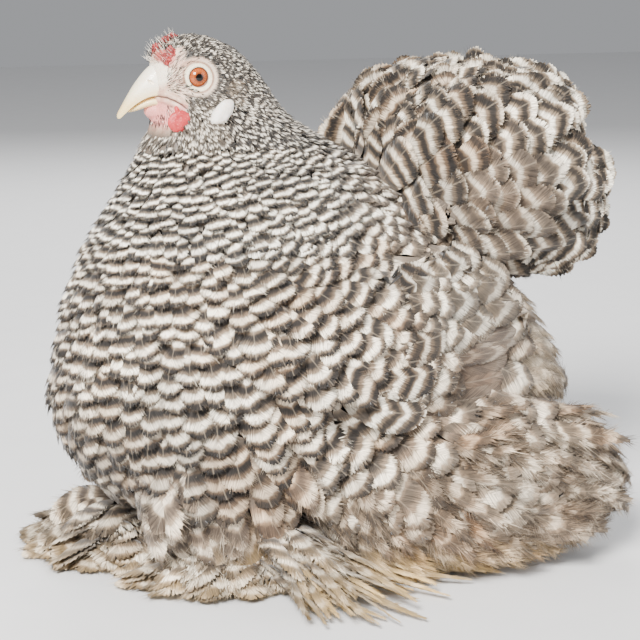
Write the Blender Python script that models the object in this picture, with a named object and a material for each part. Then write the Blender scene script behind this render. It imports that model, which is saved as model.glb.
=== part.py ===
"""Pekin bantam hen, life size, standing still, as a museum model.

Metres, +Z up. The hen looks along -X, her left side is at -Y, and her soles stand on Z = 0.
Head, neck and torso are one lofted trunk of level sections, parted by thin cuts. Whatever grows from
the trunk is built from the trunk's own sizes and cut clear of it. Tail, wings and feet carry their
large feathers as vanes in tiers, each with its root sunk in the core that it grows from.
"""
import math
import random

import bmesh
import bpy
from mathutils import Matrix, Vector

GAP = 0.0003  # clearance that touching pieces keep
MERGE = 0.00001
SIDES = {"left": -1.0, "right": 1.0}  # the sign of Y on each side of the hen

# The trunk's outline from crown to belly: height, foremost x, rearmost x, half width.
TRUNK = [
    (0.2250, -0.0650, -0.0500, 0.0070),
    (0.2210, -0.0725, -0.0405, 0.0110),
    (0.2150, -0.0745, -0.0335, 0.0132),
    (0.2085, -0.0750, -0.0280, 0.0145),
    (0.2020, -0.0745, -0.0235, 0.0160),
    (0.1950, -0.0740, -0.0190, 0.0185),
    (0.1880, -0.0750, -0.0110, 0.0230),
    (0.1800, -0.0785, 0.0030, 0.0290),
    (0.1720, -0.0825, 0.0180, 0.0355),
    (0.1620, -0.0885, 0.0330, 0.0430),
    (0.1500, -0.0960, 0.0480, 0.0500),
    (0.1350, -0.1050, 0.0660, 0.0570),
    (0.1180, -0.1120, 0.0840, 0.0630),
    (0.1000, -0.1160, 0.0980, 0.0670),
    (0.0840, -0.1190, 0.1070, 0.0690),
    (0.0700, -0.1205, 0.1110, 0.0690),
    (0.0550, -0.1150, 0.1070, 0.0650),
    (0.0420, -0.1060, 0.0970, 0.0580),
    (0.0310, -0.0930, 0.0780, 0.0460),
    (0.0240, -0.0760, 0.0540, 0.0300),
]
CROWN = (-0.0575, 0.2263)  # x and z of the top of the head
BELLY = (-0.0100, 0.0210)
PLAN_POWER = 2.25  # of the superellipse that each level section is
WIDEST = 0.52  # where a section is widest, as a share of the way from its front to its back
TRUNK_SEGMENTS = 28
HEAD_STEP = 0.0046  # height from ring to ring
NECK_STEP = 0.0070
TORSO_STEP = 0.0115
HEAD_CUT = ((-0.0750, 0.1875), (-0.0150, 0.1985))  # x and z at both ends of the cut below the head
NECK_CUT = ((-0.0960, 0.1530), (0.0150, 0.1790))

# Bill: culmen, cutting edge and lower edge of the lower bill, as x and z from the face to the tip.
CULMEN = [(-0.0690, 0.2165), (-0.0755, 0.2130), (-0.0810, 0.2075), (-0.0858, 0.2005), (-0.0896, 0.1930)]
CUTTING_EDGE = [(-0.0640, 0.1984), (-0.0705, 0.2003), (-0.0765, 0.1997), (-0.0822, 0.1968), (-0.0890, 0.1922)]
LOWER_EDGE = [(-0.0640, 0.1915), (-0.0695, 0.1935), (-0.0745, 0.1945), (-0.0790, 0.1950), (-0.0832, 0.1953)]
BILL_HALF_WIDTHS = [0.0082, 0.0070, 0.0054, 0.0035, 0.0011]
LOWER_BILL_TIP = (-0.0836, 0.1962)
LOWER_BILL_NARROWER = 0.86
BILL_SEGMENTS = 12
MOUTH_GAP = 0.0004
NOSTRIL = (-0.0775, 0.0046, 0.2068)  # centre of the slit on the +Y side
NOSTRIL_SIZE = (0.0021, 0.0012, 0.0008)
NOSTRIL_TILT = 35.0

EYE = (-0.0580, 0.0106, 0.2097)  # centre of the ball on the +Y side
EYE_RADIUS = 0.0049
LID_RADIUS = 0.0048  # of the ring that the lid's edge runs round
LID_THICKNESS = 0.0009
LID_OUT = 0.62  # of the eye's radius, from its centre out to the lid's ring
EAR = (-0.0425, 0.0005, 0.2060)  # x, how far it stands out of the trunk, z
EAR_CUP = (0.0030, 0.0022, 0.0036)
EARLOBE = (-0.0462, 0.0003, 0.1985)
EARLOBE_SIZE = (0.0058, 0.0032, 0.0080)
EARLOBE_TILT = 24.0
WATTLE = (-0.0660, 0.0006, 0.1925)
WATTLE_SIZE = (0.0056, 0.0024, 0.0066)
WATTLE_TILT = -10.0

# Comb: the blade's outline in the plane Y = 0, from its root at the bill over its points to the crown.
COMB_ROOT = [(-0.0600, 0.2200), (-0.0650, 0.2180), (-0.0700, 0.2130)]
COMB_POINTS = 5
COMB_START = (-0.0752, 0.2160)
COMB_END = (-0.0635, 0.2262)
COMB_HEIGHT = 0.0034  # of the points over the notches
COMB_THICKNESS = 0.0030

# Vanes: shares of the length, each with its share of the width, from root to rounded tip.
VANE_OUTLINE = [(0.0, 0.45), (0.55, 1.0), (0.86, 0.86), (1.0, 0.32)]
VANE_THICKNESS = 0.0008

TAIL_CENTRE = (0.0680, 0.0, 0.1620)
TAIL_REACH = (0.0730, 0.0530, 0.0575)  # out to the tips of the coverts
TAIL_BLUNTNESS = 1.18  # over 1 the form is squarer than a ball
TAIL_CORE = 0.55  # share of the reach
TAIL_HIDDEN_POLE = (-0.90, 0.0, -0.35)  # from the tail's centre towards the back that it grows from
# Tiers of the tail: angle from the hidden pole, vanes, degrees round the ball from root to tip.
TAIL_TIERS = [
    (45.0, 8, -16.0),
    (66.0, 10, 8.0),
    (87.0, 12, 30.0),
    (108.0, 12, 40.0),
    (128.0, 10, 40.0),
    (148.0, 7, 36.0),
    (168.0, 4, 30.0),
]
TAIL_VANE_ROOT = 0.46
TAIL_VANE_WIDTH = 0.0270
TAIL_STAGGER = 0.034  # of the reach, between neighbours in a tier
TAIL_CAMBER = 0.0020

WING_SHOULDER = (-0.0700, 0.1040)  # x and z of the wing's front end
WING_TIP = (0.0740, 0.1120)
WING_HALF_HEIGHT = 0.0300
WING_THICKNESS = 0.0085
WING_SKIN = 0.0012  # least thickness of the wing at its rim
WING_SUNK = 0.0040  # how deep its inner face starts inside the trunk, which is then cut away
WING_STRAIGHT = 0.0250  # aft of this x the wing leaves the trunk and runs straight
WING_CLOSING = 0.36  # how fast the straight part closes in on the middle plane
# Tiers of the wing: tips from the upper to the lower one, roots likewise, count, width, lift.
WING_TIERS = {
    "flights": ((0.0840, 0.1175), (0.0500, 0.0800), (0.0150, 0.1180), (-0.0050, 0.0920), 7, 0.0160, 0.0024),
    "greater": ((0.0660, 0.1320), (0.0220, 0.0770), (0.0060, 0.1250), (-0.0200, 0.0930), 5, 0.0200, 0.0056),
    "lesser": ((0.0340, 0.1340), (-0.0080, 0.0770), (-0.0180, 0.1270), (-0.0420, 0.0940), 5, 0.0190, 0.0088),
}

THIGH_CENTRE = (0.0420, 0.0480, 0.0400)
THIGH_SIZE = (0.0780, 0.0370, 0.0400)
THIGH_TILT = 5.0
SHANK_CENTRE = (-0.0560, 0.0370, 0.0400)  # of the feathered leg
SHANK_SIZE = (0.0370, 0.0250, 0.0320)
# Each foot: where its footings spread from, the size of the mound, and tiers of its vanes as first
# heading, last heading, count, reach ahead, reach aside, width, height of the root, height of the tip.
FOOTINGS = {
    "left": {
        "centre": (-0.0480, 0.0340, 0.0020),
        "mound": (0.0300, 0.0180, 0.0130),
        "tiers": [
            (205.0, 66.0, 8, 0.0440, 0.0250, 0.0160, 0.0050, 0.0010),
            (48.0, 38.0, 2, 0.0930, 0.0930, 0.0150, 0.0060, 0.0010),
            (190.0, 76.0, 5, 0.0340, 0.0200, 0.0180, 0.0095, 0.0060),
        ],
    },
    "right": {
        "centre": (-0.0760, 0.0270, 0.0020),
        "mound": (0.0330, 0.0230, 0.0150),
        "tiers": [
            (240.0, 80.0, 10, 0.0520, 0.0480, 0.0180, 0.0050, 0.0010),
            (42.0, 34.0, 2, 0.1160, 0.1160, 0.0160, 0.0060, 0.0010),
            (226.0, 90.0, 6, 0.0410, 0.0380, 0.0200, 0.0100, 0.0070),
        ],
    },
}
TOE_ROOT = {"left": (-0.0280, 0.0370, 0.0044), "right": (-0.0480, 0.0330, 0.0044)}
TOE_RADIUS = 0.0042
TOES = [(-172.0, 0.0330), (180.0, 0.0380), (158.0, 0.0340), (12.0, 0.0190)]  # heading from +X, length
CLAW_LENGTH = 0.0095
CLAW_RADIUS = 0.0018
CLAW_BEND = 44.0  # degrees that the claw turns down over its length
CLAW_START = 0.0027  # height of the claw's middle where it leaves the toe
CLAW_SUNK = 0.0015

FEATHER_GREY = (0.30, 0.27, 0.24)
FLUFF_GREY = (0.36, 0.33, 0.29)
HORN_WHITE = (0.86, 0.80, 0.62)
COMB_RED = (0.72, 0.22, 0.18)
LOBE_WHITE = (0.88, 0.84, 0.80)
IRIS_ORANGE = (0.62, 0.28, 0.10)
CLAW_HORN = (0.74, 0.64, 0.46)


def clear_scene():
    for obj in list(bpy.data.objects):
        bpy.data.objects.remove(obj)


def make_collection(name):
    collection = bpy.data.collections.new(name)
    bpy.context.scene.collection.children.link(collection)
    return collection


def make_material(name, colour, roughness):
    material = bpy.data.materials.new(name)
    material.use_nodes = True
    shader = material.node_tree.nodes["Principled BSDF"]
    shader.inputs["Base Color"].default_value = (*colour, 1.0)
    shader.inputs["Roughness"].default_value = roughness
    return material


def object_from(name, mesh, collection):
    obj = bpy.data.objects.new(name, mesh)
    collection.objects.link(obj)
    return obj


def mesh_from(name, points, faces):
    mesh = bpy.data.meshes.new(name)
    mesh.from_pydata([tuple(p) for p in points], [], faces)
    mesh.update()
    return mesh


def take_modifiers(obj):
    """Replaces the object's mesh by the one that its modifiers make."""
    graph = bpy.context.evaluated_depsgraph_get()
    mesh = bpy.data.meshes.new_from_object(obj.evaluated_get(graph))
    obj.modifiers.clear()
    obj.data = mesh


def keep_largest_shell(obj):
    """Drops every closed surface of the mesh but the one that holds the most."""
    shape = bmesh.new()
    shape.from_mesh(obj.data)
    bmesh.ops.remove_doubles(shape, verts=shape.verts, dist=MERGE)
    bmesh.ops.triangulate(shape, faces=shape.faces)
    unseen = set(shape.verts)
    shells = []
    while unseen:
        shell = set()
        front = [unseen.pop()]
        while front:
            vert = front.pop()
            shell.add(vert)
            for edge in vert.link_edges:
                other = edge.other_vert(vert)
                if other in unseen:
                    unseen.remove(other)
                    front.append(other)
        faces = {face for vert in shell for face in vert.link_faces}
        volume = sum(f.verts[0].co.dot(f.verts[1].co.cross(f.verts[2].co)) for f in faces) / 6.0
        shells.append((volume, shell))
    largest = max(shells, key=lambda entry: entry[0])[1]
    bmesh.ops.delete(shape, geom=[v for v in shape.verts if v not in largest], context="VERTS")
    shape.to_mesh(obj.data)
    shape.free()


def join_pieces(obj, pieces):
    """Unites obj with the pieces, which are then removed."""
    joined = make_collection(obj.name + "_pieces")
    for piece in pieces:
        for holder in list(piece.users_collection):
            holder.objects.unlink(piece)
        joined.objects.link(piece)
    union = obj.modifiers.new("join", "BOOLEAN")
    union.operation = "UNION"
    union.solver = "MANIFOLD"
    union.operand_type = "COLLECTION"
    union.collection = joined
    take_modifiers(obj)
    for piece in pieces:
        bpy.data.objects.remove(piece)
    bpy.data.collections.remove(joined)
    keep_largest_shell(obj)


def cut_away(obj, cutter, keep_cutter=False):
    """Takes the cutter's shape out of obj."""
    cut = obj.modifiers.new("cut", "BOOLEAN")
    cut.operation = "DIFFERENCE"
    cut.solver = "MANIFOLD"
    cut.object = cutter
    take_modifiers(obj)
    if not keep_cutter:
        bpy.data.objects.remove(cutter)
    keep_largest_shell(obj)


def hide_helper(obj):
    obj.hide_render = True
    obj.display_type = "WIRE"


def grown_copy(obj, by, collection):
    """A copy of obj whose surface stands out by that much."""
    mesh = obj.data.copy()
    mesh.transform(obj.matrix_world)
    normals = [v.normal.copy() for v in mesh.vertices]
    for vert, normal in zip(mesh.vertices, normals):
        vert.co += normal * by
    copy = object_from(obj.name + "_grown", mesh, collection)
    hide_helper(copy)
    return copy


def smooth_value(rows, at, column):
    """The value of a column at that height, on a smooth curve through the rows, which run downwards."""
    count = len(rows)
    if at >= rows[0][0]:
        return rows[0][column]
    if at <= rows[-1][0]:
        return rows[-1][column]
    low = next(i for i in range(count - 1) if rows[i + 1][0] <= at)
    before = rows[max(low - 1, 0)]
    start = rows[low]
    end = rows[low + 1]
    after = rows[min(low + 2, count - 1)]
    span = end[0] - start[0]
    slope_start = (end[column] - before[column]) / (end[0] - before[0]) * span
    slope_end = (after[column] - start[column]) / (after[0] - start[0]) * span
    t = (at - start[0]) / span
    return (
        (2 * t**3 - 3 * t**2 + 1) * start[column]
        + (t**3 - 2 * t**2 + t) * slope_start
        + (3 * t**2 - 2 * t**3) * end[column]
        + (t**3 - t**2) * slope_end
    )


def section_at(z):
    """Foremost x, rearmost x, widest x and half width of the trunk at height z."""
    front, back, half_width = (smooth_value(TRUNK, z, column) for column in (1, 2, 3))
    return front, back, front + (back - front) * WIDEST, half_width


def trunk_half_width(x, z):
    front, back, widest, half_width = section_at(z)
    reach = (widest - front) if x < widest else (back - widest)
    share = min(abs(x - widest) / reach, 1.0)
    return half_width * (1.0 - share**PLAN_POWER) ** (1.0 / PLAN_POWER)


def trunk_ring(z):
    front, back, widest, half_width = section_at(z)
    ring = []
    for i in range(TRUNK_SEGMENTS):
        angle = 2.0 * math.pi * i / TRUNK_SEGMENTS
        along = math.copysign(abs(math.cos(angle)) ** (2.0 / PLAN_POWER), math.cos(angle))
        across = math.copysign(abs(math.sin(angle)) ** (2.0 / PLAN_POWER), math.sin(angle))
        reach = (widest - front) if along > 0 else (back - widest)
        ring.append((widest - along * reach, across * half_width, z))
    return ring


def ring_heights():
    heights = []
    z = TRUNK[0][0]
    head_end = HEAD_CUT[0][1]
    neck_end = NECK_CUT[0][1]
    belly_start = TRUNK[-4][0]
    while z > TRUNK[-1][0]:
        heights.append(z)
        if z > head_end:
            z -= HEAD_STEP
        elif z > neck_end or z < belly_start:
            z -= NECK_STEP
        else:
            z -= TORSO_STEP
    return heights[:-1] + [TRUNK[-1][0]]


def loft(name, rings, first_pole, last_pole):
    """A closed mesh through rings of equally many points, with a pole at each end."""
    count = len(rings[0])
    points = [p for ring in rings for p in ring] + [first_pole, last_pole]
    top, bottom = len(points) - 2, len(points) - 1
    faces = []
    for r in range(len(rings) - 1):
        for i in range(count):
            j = (i + 1) % count
            faces.append((r * count + i, (r + 1) * count + i, (r + 1) * count + j, r * count + j))
    last = (len(rings) - 1) * count
    for i in range(count):
        j = (i + 1) % count
        faces.append((top, i, j))
        faces.append((bottom, last + j, last + i))
    mesh = mesh_from(name, points, faces)
    face_outwards(mesh)
    return mesh


def face_outwards(mesh):
    shape = bmesh.new()
    shape.from_mesh(mesh)
    bmesh.ops.recalc_face_normals(shape, faces=shape.faces)
    shape.to_mesh(mesh)
    shape.free()
    mesh.update()


def ellipsoid(name, centre, size, collection, tilt=0.0, segments=20, rings=12, turn=0.0):
    """A ball scaled to size, tipped about Y by tilt degrees and then turned about Z by turn degrees."""
    shape = bmesh.new()
    bmesh.ops.create_uvsphere(shape, u_segments=segments, v_segments=rings, radius=1.0)
    place = (
        Matrix.Translation(centre)
        @ Matrix.Rotation(math.radians(turn), 4, "Z")
        @ Matrix.Rotation(math.radians(tilt), 4, "Y")
        @ Matrix.Diagonal((*size, 1.0))
    )
    bmesh.ops.transform(shape, matrix=place, verts=shape.verts)
    mesh = bpy.data.meshes.new(name)
    shape.to_mesh(mesh)
    shape.free()
    return object_from(name, mesh, collection)


def blunt_reach(direction, size, power):
    """How far out a blunted ball of that size reaches from its centre in a unit direction."""
    return sum(abs(direction[k] / size[k]) ** (2.0 * power) for k in range(3)) ** (-0.5 / power)


def on_side(point, side):
    """The point given for the +Y side, on the side asked for."""
    return (point[0], point[1] * SIDES[side], point[2])


def on_skin(place, side):
    """The point on one side of the trunk, from its x, how far it stands out and its z."""
    x, out, z = place
    return (x, (trunk_half_width(x, z) + out) * SIDES[side], z)


def vane(name, place, collection):
    """A feather as a thin closed blade. place gives a point from the share across (-1 to 1), the share
    along (0 to 1) and the height over the blade's middle surface."""
    points = []
    for along, width in VANE_OUTLINE:
        for height in (VANE_THICKNESS / 2.0, -VANE_THICKNESS / 2.0):
            points += [place(-width, along, height), place(width, along, height)]
    faces = [(0, 2, 1), (1, 2, 3)]
    for i in range(len(VANE_OUTLINE) - 1):
        a, b = i * 4, (i + 1) * 4
        faces += [(a, a + 1, b), (a + 1, b + 1, b), (a + 2, b + 2, a + 3), (a + 3, b + 2, b + 3)]
        faces += [(a, b, a + 2), (b, b + 2, a + 2), (a + 1, a + 3, b + 1), (a + 3, b + 3, b + 1)]
    last = (len(VANE_OUTLINE) - 1) * 4
    faces += [(last, last + 1, last + 2), (last + 1, last + 3, last + 2)]
    mesh = mesh_from(name, points, faces)
    face_outwards(mesh)
    return object_from(name, mesh, collection)


def trunk_between(name, whole, below, above, collection):
    """The trunk's length between two slanting cuts, each given by two (x, z) points or None."""
    shape = bmesh.new()
    shape.from_mesh(whole)
    for ends, sign in ((below, 1.0), (above, -1.0)):
        if ends is None:
            continue
        (x0, z0), (x1, z1) = ends
        normal = Vector((z0 - z1, 0.0, x1 - x0)).normalized() * sign
        point = Vector((x0, 0.0, z0)) + normal * (GAP / 2.0)
        geometry = shape.verts[:] + shape.edges[:] + shape.faces[:]
        cut = bmesh.ops.bisect_plane(shape, geom=geometry, plane_co=point, plane_no=normal, clear_inner=True)
        rim = [edge for edge in cut["geom_cut"] if isinstance(edge, bmesh.types.BMEdge)]
        bmesh.ops.edgeloop_fill(shape, edges=rim)
    bmesh.ops.recalc_face_normals(shape, faces=shape.faces)
    bmesh.ops.triangulate(shape, faces=shape.faces)
    mesh = bpy.data.meshes.new(name)
    shape.to_mesh(mesh)
    shape.free()
    return object_from(name, mesh, collection)


def build_trunk():
    rings = [trunk_ring(z) for z in ring_heights()]
    return loft("trunk", rings, (CROWN[0], 0.0, CROWN[1]), (BELLY[0], 0.0, BELLY[1]))


def lid_ring(side):
    """The rounded edge of the lids, as a ring round the eye."""
    centre = on_side(EYE, side)
    bpy.ops.mesh.primitive_torus_add(
        location=(centre[0], centre[1] + SIDES[side] * EYE_RADIUS * LID_OUT, centre[2]),
        rotation=(math.radians(90.0), 0.0, 0.0),
        major_radius=LID_RADIUS,
        minor_radius=LID_THICKNESS,
        major_segments=20,
        minor_segments=6,
    )
    lid = bpy.context.object
    lid.data.transform(lid.matrix_world)
    lid.matrix_world = Matrix.Identity(4)
    return lid


def build_head(whole, collection, helpers):
    head = trunk_between("head", whole, HEAD_CUT, None, collection)
    join_pieces(head, [lid_ring(side) for side in SIDES])
    for side in SIDES:
        cut_away(head, ellipsoid("socket", on_side(EYE, side), [EYE_RADIUS + GAP] * 3, helpers, 0.0, 16, 10))
        cut_away(head, ellipsoid("ear_cup", on_skin(EAR, side), EAR_CUP, helpers, 12.0, 10, 6))
    return head


def bill_ring(top, bottom, half_width, flat_top):
    """One section of a bill, arched on one edge and nearly flat on the other."""
    high = Vector((top[0], 0.0, top[1]))
    low = Vector((bottom[0], 0.0, bottom[1]))
    ring = []
    for i in range(BILL_SEGMENTS):
        angle = 2.0 * math.pi * (i + 0.5) / BILL_SEGMENTS
        height = math.cos(angle)
        if (height > 0) == flat_top:
            height = math.copysign(abs(height) ** 0.45, height)
        point = (high + low) / 2.0 + (high - low) / 2.0 * height
        point.y = half_width * math.sin(angle)
        ring.append(tuple(point))
    return ring


def build_bill(name, tops, bottoms, widths, flat_top, collection):
    rings = [bill_ring(t, b, w, flat_top) for t, b, w in zip(tops, bottoms, widths)]
    base = Vector(rings[0][0]).lerp(Vector(rings[0][BILL_SEGMENTS // 2]), 0.5)
    tip = Vector(rings[-1][0]).lerp(Vector(rings[-1][BILL_SEGMENTS // 2]), 0.5) + Vector((-0.0006, 0.0, -0.0006))
    mesh = loft(name, rings, (base.x, 0.0, base.z), (tip.x, 0.0, tip.z))
    return object_from(name, mesh, collection)


def build_bills(collection, trunk_clear, helpers):
    upper = build_bill("bill_upper", CULMEN, CUTTING_EDGE, BILL_HALF_WIDTHS, False, collection)
    mouth = [(x, z - MOUTH_GAP) for x, z in CUTTING_EDGE[:-1] + [LOWER_BILL_TIP]]
    widths = [w * LOWER_BILL_NARROWER for w in BILL_HALF_WIDTHS]
    lower = build_bill("bill_lower", mouth, LOWER_EDGE, widths, True, collection)
    cut_away(lower, grown_copy(upper, GAP, helpers))
    for side in SIDES:
        slit = ellipsoid("nostril", on_side(NOSTRIL, side), NOSTRIL_SIZE, helpers, NOSTRIL_TILT, 10, 6)
        cut_away(upper, slit)
    for bill in (upper, lower):
        cut_away(bill, trunk_clear, keep_cutter=True)
    return upper, lower


def comb_outline():
    start, end = Vector(COMB_START), Vector(COMB_END)
    along = end - start
    outward = Vector((-along.y, along.x)).normalized()
    outline = [Vector(p) for p in COMB_ROOT]
    for i in range(COMB_POINTS):
        share = (i + 0.5) / COMB_POINTS
        swell = math.sin(math.pi * (0.25 + 0.6 * share))
        outline.append(start + along * (i / COMB_POINTS) + outward * COMB_HEIGHT * 0.25)
        outline.append(start + along * (share - 0.09) + outward * COMB_HEIGHT * swell)
        outline.append(start + along * (share + 0.05) + outward * COMB_HEIGHT * swell)
    outline.append(end)
    return outline


def build_comb(collection, trunk_clear, upper, helpers):
    outline = comb_outline()
    curve = bpy.data.curves.new("comb", "CURVE")
    curve.dimensions = "2D"
    curve.fill_mode = "BOTH"
    curve.extrude = COMB_THICKNESS / 2.0
    line = curve.splines.new("POLY")
    line.points.add(len(outline) - 1)
    for point, place in zip(line.points, outline):
        point.co = (place.x, place.y, 0.0, 1.0)
    line.use_cyclic_u = True
    blade = object_from("comb_outline", curve, collection)
    blade.matrix_world = Matrix.Rotation(math.radians(90.0), 4, "X")
    bpy.context.view_layer.update()
    graph = bpy.context.evaluated_depsgraph_get()
    mesh = bpy.data.meshes.new_from_object(blade.evaluated_get(graph))
    mesh.transform(blade.matrix_world)
    bpy.data.objects.remove(blade)
    shape = bmesh.new()
    shape.from_mesh(mesh)
    bmesh.ops.remove_doubles(shape, verts=shape.verts, dist=MERGE)
    bmesh.ops.recalc_face_normals(shape, faces=shape.faces)
    shape.to_mesh(mesh)
    shape.free()
    comb = object_from("comb", mesh, collection)
    cut_away(comb, trunk_clear, keep_cutter=True)
    cut_away(comb, grown_copy(upper, GAP, helpers))
    return comb


def tail_vane(direction, turn, out, rng, collection):
    """A covert whose tip stands at the tail's outer form and whose root is turned towards the back."""
    hidden = Vector(TAIL_HIDDEN_POLE).normalized()
    side = direction.cross(hidden).normalized()
    turned = Matrix.Rotation(math.radians(turn), 3, side) @ direction
    centre = Vector(TAIL_CENTRE)
    root = centre + turned * blunt_reach(turned, TAIL_REACH, TAIL_BLUNTNESS) * TAIL_VANE_ROOT
    tip = centre + direction * blunt_reach(direction, TAIL_REACH, TAIL_BLUNTNESS) * out
    ahead = (tip - root).normalized()
    up = side.cross(ahead).normalized()
    if up.dot(direction) < 0:
        up = -up
    half_width = TAIL_VANE_WIDTH * rng.uniform(0.92, 1.08) / 2.0
    length = (tip - root).length

    def place(across, along, height):
        sag = TAIL_CAMBER * (2.0 * along - 1.0) ** 2
        return root + ahead * length * along + side * across * half_width + up * (height - sag)

    return vane("covert", place, collection)


def build_tail(collection, helpers):
    centre = Vector(TAIL_CENTRE)
    tail = ellipsoid("tail", (0.0, 0.0, 0.0), (1.0, 1.0, 1.0), collection, 0.0, 20, 12)
    for vert in tail.data.vertices:
        direction = vert.co.normalized()
        vert.co = centre + direction * blunt_reach(direction, TAIL_REACH, TAIL_BLUNTNESS) * TAIL_CORE
    hidden = Vector(TAIL_HIDDEN_POLE).normalized()
    level = Vector((0.0, 1.0, 0.0))
    third = hidden.cross(level).normalized()
    rng = random.Random(7)
    vanes = []
    for number, (angle, count, turn) in enumerate(TAIL_TIERS):
        for i in range(count):
            about = 2.0 * math.pi * (i + 0.5 * (number % 2)) / count + rng.uniform(-0.05, 0.05)
            polar = math.radians(angle + rng.uniform(-2.5, 2.5))
            sideways = level * math.cos(about) + third * math.sin(about)
            direction = (hidden * math.cos(polar) + sideways * math.sin(polar)).normalized()
            out = 1.0 - TAIL_STAGGER * (i % 2) - rng.uniform(0.0, 0.012)
            vanes.append(tail_vane(direction, turn, out, rng, helpers))
    join_pieces(tail, vanes)
    return tail


def wing_side(x, z):
    """Half width of the hen under the wing: the trunk's, then a straight run behind it."""
    if x <= WING_STRAIGHT:
        return trunk_half_width(x, z)
    return trunk_half_width(WING_STRAIGHT, z) - (x - WING_STRAIGHT) * WING_CLOSING


def wing_plate(side, collection):
    """The folded wing's body: a shield that lies on the trunk's side, thickest in the middle."""
    across, along = 6, 11
    outer, inner = [], []
    start, end = Vector(WING_SHOULDER), Vector(WING_TIP)
    run = end - start
    up = Vector((-run.y, run.x)).normalized()
    for i in range(1, along):
        s = i / along
        centre = start + run * s
        width = WING_HALF_HEIGHT * math.sin(math.pi * s**0.72) ** 0.6
        for j in range(across + 1):
            t = -1.0 + 2.0 * j / across
            place = centre + up * width * t
            lift = WING_THICKNESS * (1.0 - abs(t) ** 2.2) ** 0.7 * math.sin(math.pi * s**0.8) ** 0.6
            base = wing_side(place.x, place.y)
            inner.append((place.x, (base - WING_SUNK) * SIDES[side], place.y))
            outer.append((place.x, (base + WING_SKIN + lift) * SIDES[side], place.y))
    row = across + 1
    rows = along - 1
    under = len(outer)
    faces = []
    for i in range(rows - 1):
        for j in range(across):
            a, b, c, d = i * row + j, (i + 1) * row + j, (i + 1) * row + j + 1, i * row + j + 1
            faces += [(a, b, c), (a, c, d), (under + a, under + c, under + b), (under + a, under + d, under + c)]
    rim = list(range(row)) + [i * row + across for i in range(1, rows)]
    rim += [(rows - 1) * row + j for j in range(across - 1, -1, -1)] + [i * row for i in range(rows - 2, 0, -1)]
    for a, b in zip(rim, rim[1:] + rim[:1]):
        faces += [(a, b, under + b), (a, under + b, under + a)]
    mesh = mesh_from("wing_" + side, outer + inner, faces)
    face_outwards(mesh)
    return object_from("wing_" + side, mesh, collection)


def wing_vane(side, root, tip, width, lift, collection):
    """A feather of the folded wing that follows the hen's side at that height over it."""
    run = tip - root
    up = Vector((-run.y, run.x)).normalized()

    def place(across, along, height):
        at = root + run * along + up * across * width / 2.0
        sunk = lift * (0.35 + 0.65 * min(1.0, along / 0.5))
        out = wing_side(at.x, at.y) + WING_SKIN + sunk + height
        return Vector((at.x, out * SIDES[side], at.y))

    return vane("feather", place, collection)


def build_wing(side, collection, helpers):
    wing = wing_plate(side, collection)
    rng = random.Random(11)
    vanes = []
    for upper_tip, lower_tip, upper_root, lower_root, count, width, lift in WING_TIERS.values():
        for i in range(count):
            share = i / (count - 1)
            tip = Vector(upper_tip).lerp(Vector(lower_tip), share)
            tip.x += 0.009 * math.sin(math.pi * share) + rng.uniform(-0.002, 0.002)
            root = Vector(upper_root).lerp(Vector(lower_root), share)
            vanes.append(wing_vane(side, root, tip, width, lift + 0.0013 * (i % 2), helpers))
    join_pieces(wing, vanes)
    return wing


def build_toe(side, heading, length, collection):
    """A tapered toe along the floor, as a ball drawn out, with its tip and direction."""
    root = Vector(on_side(TOE_ROOT[side], side))
    angle = math.radians(heading)
    direction = Vector((math.cos(angle), math.sin(angle) * SIDES[side], 0.0))
    centre = root + direction * length * 0.5
    turn = math.degrees(math.atan2(direction.y, direction.x))
    toe = ellipsoid("toe", centre, (length * 0.56, TOE_RADIUS, TOE_RADIUS), collection, 0.0, 10, 8, turn)
    return toe, root + direction * length, direction


def build_claw(name, tip, direction, collection):
    """A bent cone that starts inside the toe's end and curves down to the floor."""
    rings = []
    place = Vector((tip.x, tip.y, CLAW_START)) - direction * CLAW_SUNK
    steps = 4
    sides = 7
    for i in range(steps):
        share = i / steps
        pitch = -math.radians(CLAW_BEND) * share
        ahead = (direction * math.cos(pitch) + Vector((0, 0, math.sin(pitch)))).normalized()
        up = (Vector((0, 0, 1)) - ahead * ahead.z).normalized()
        right = ahead.cross(up)
        radius = CLAW_RADIUS * (1.0 - share) ** 0.8
        turns = [2.0 * math.pi * k / sides for k in range(sides)]
        rings.append([tuple(place + (up * math.cos(a) + right * 0.75 * math.sin(a)) * radius) for a in turns])
        place = place + ahead * CLAW_LENGTH / steps
    middle = sum((Vector(p) for p in rings[0]), Vector()) / sides
    return object_from(name, loft(name, rings, tuple(middle), tuple(place)), collection)


def footing_vane(side, centre, heading, reach, width, root_height, tip_height, collection):
    """A foot feather that leaves the mound and droops to the floor."""
    angle = math.radians(heading)
    ahead = Vector((math.cos(angle), math.sin(angle) * SIDES[side], 0.0))
    across_way = Vector((-ahead.y, ahead.x, 0.0))
    start = 0.012

    def place(across, along, height):
        level = root_height + (tip_height - root_height) * along**1.5
        level += 0.0020 * math.sin(math.pi * along)
        distance = start + (reach - start) * along
        return centre + ahead * distance + across_way * across * width / 2.0 + Vector((0, 0, level + height))

    return vane("footing", place, collection)


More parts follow.
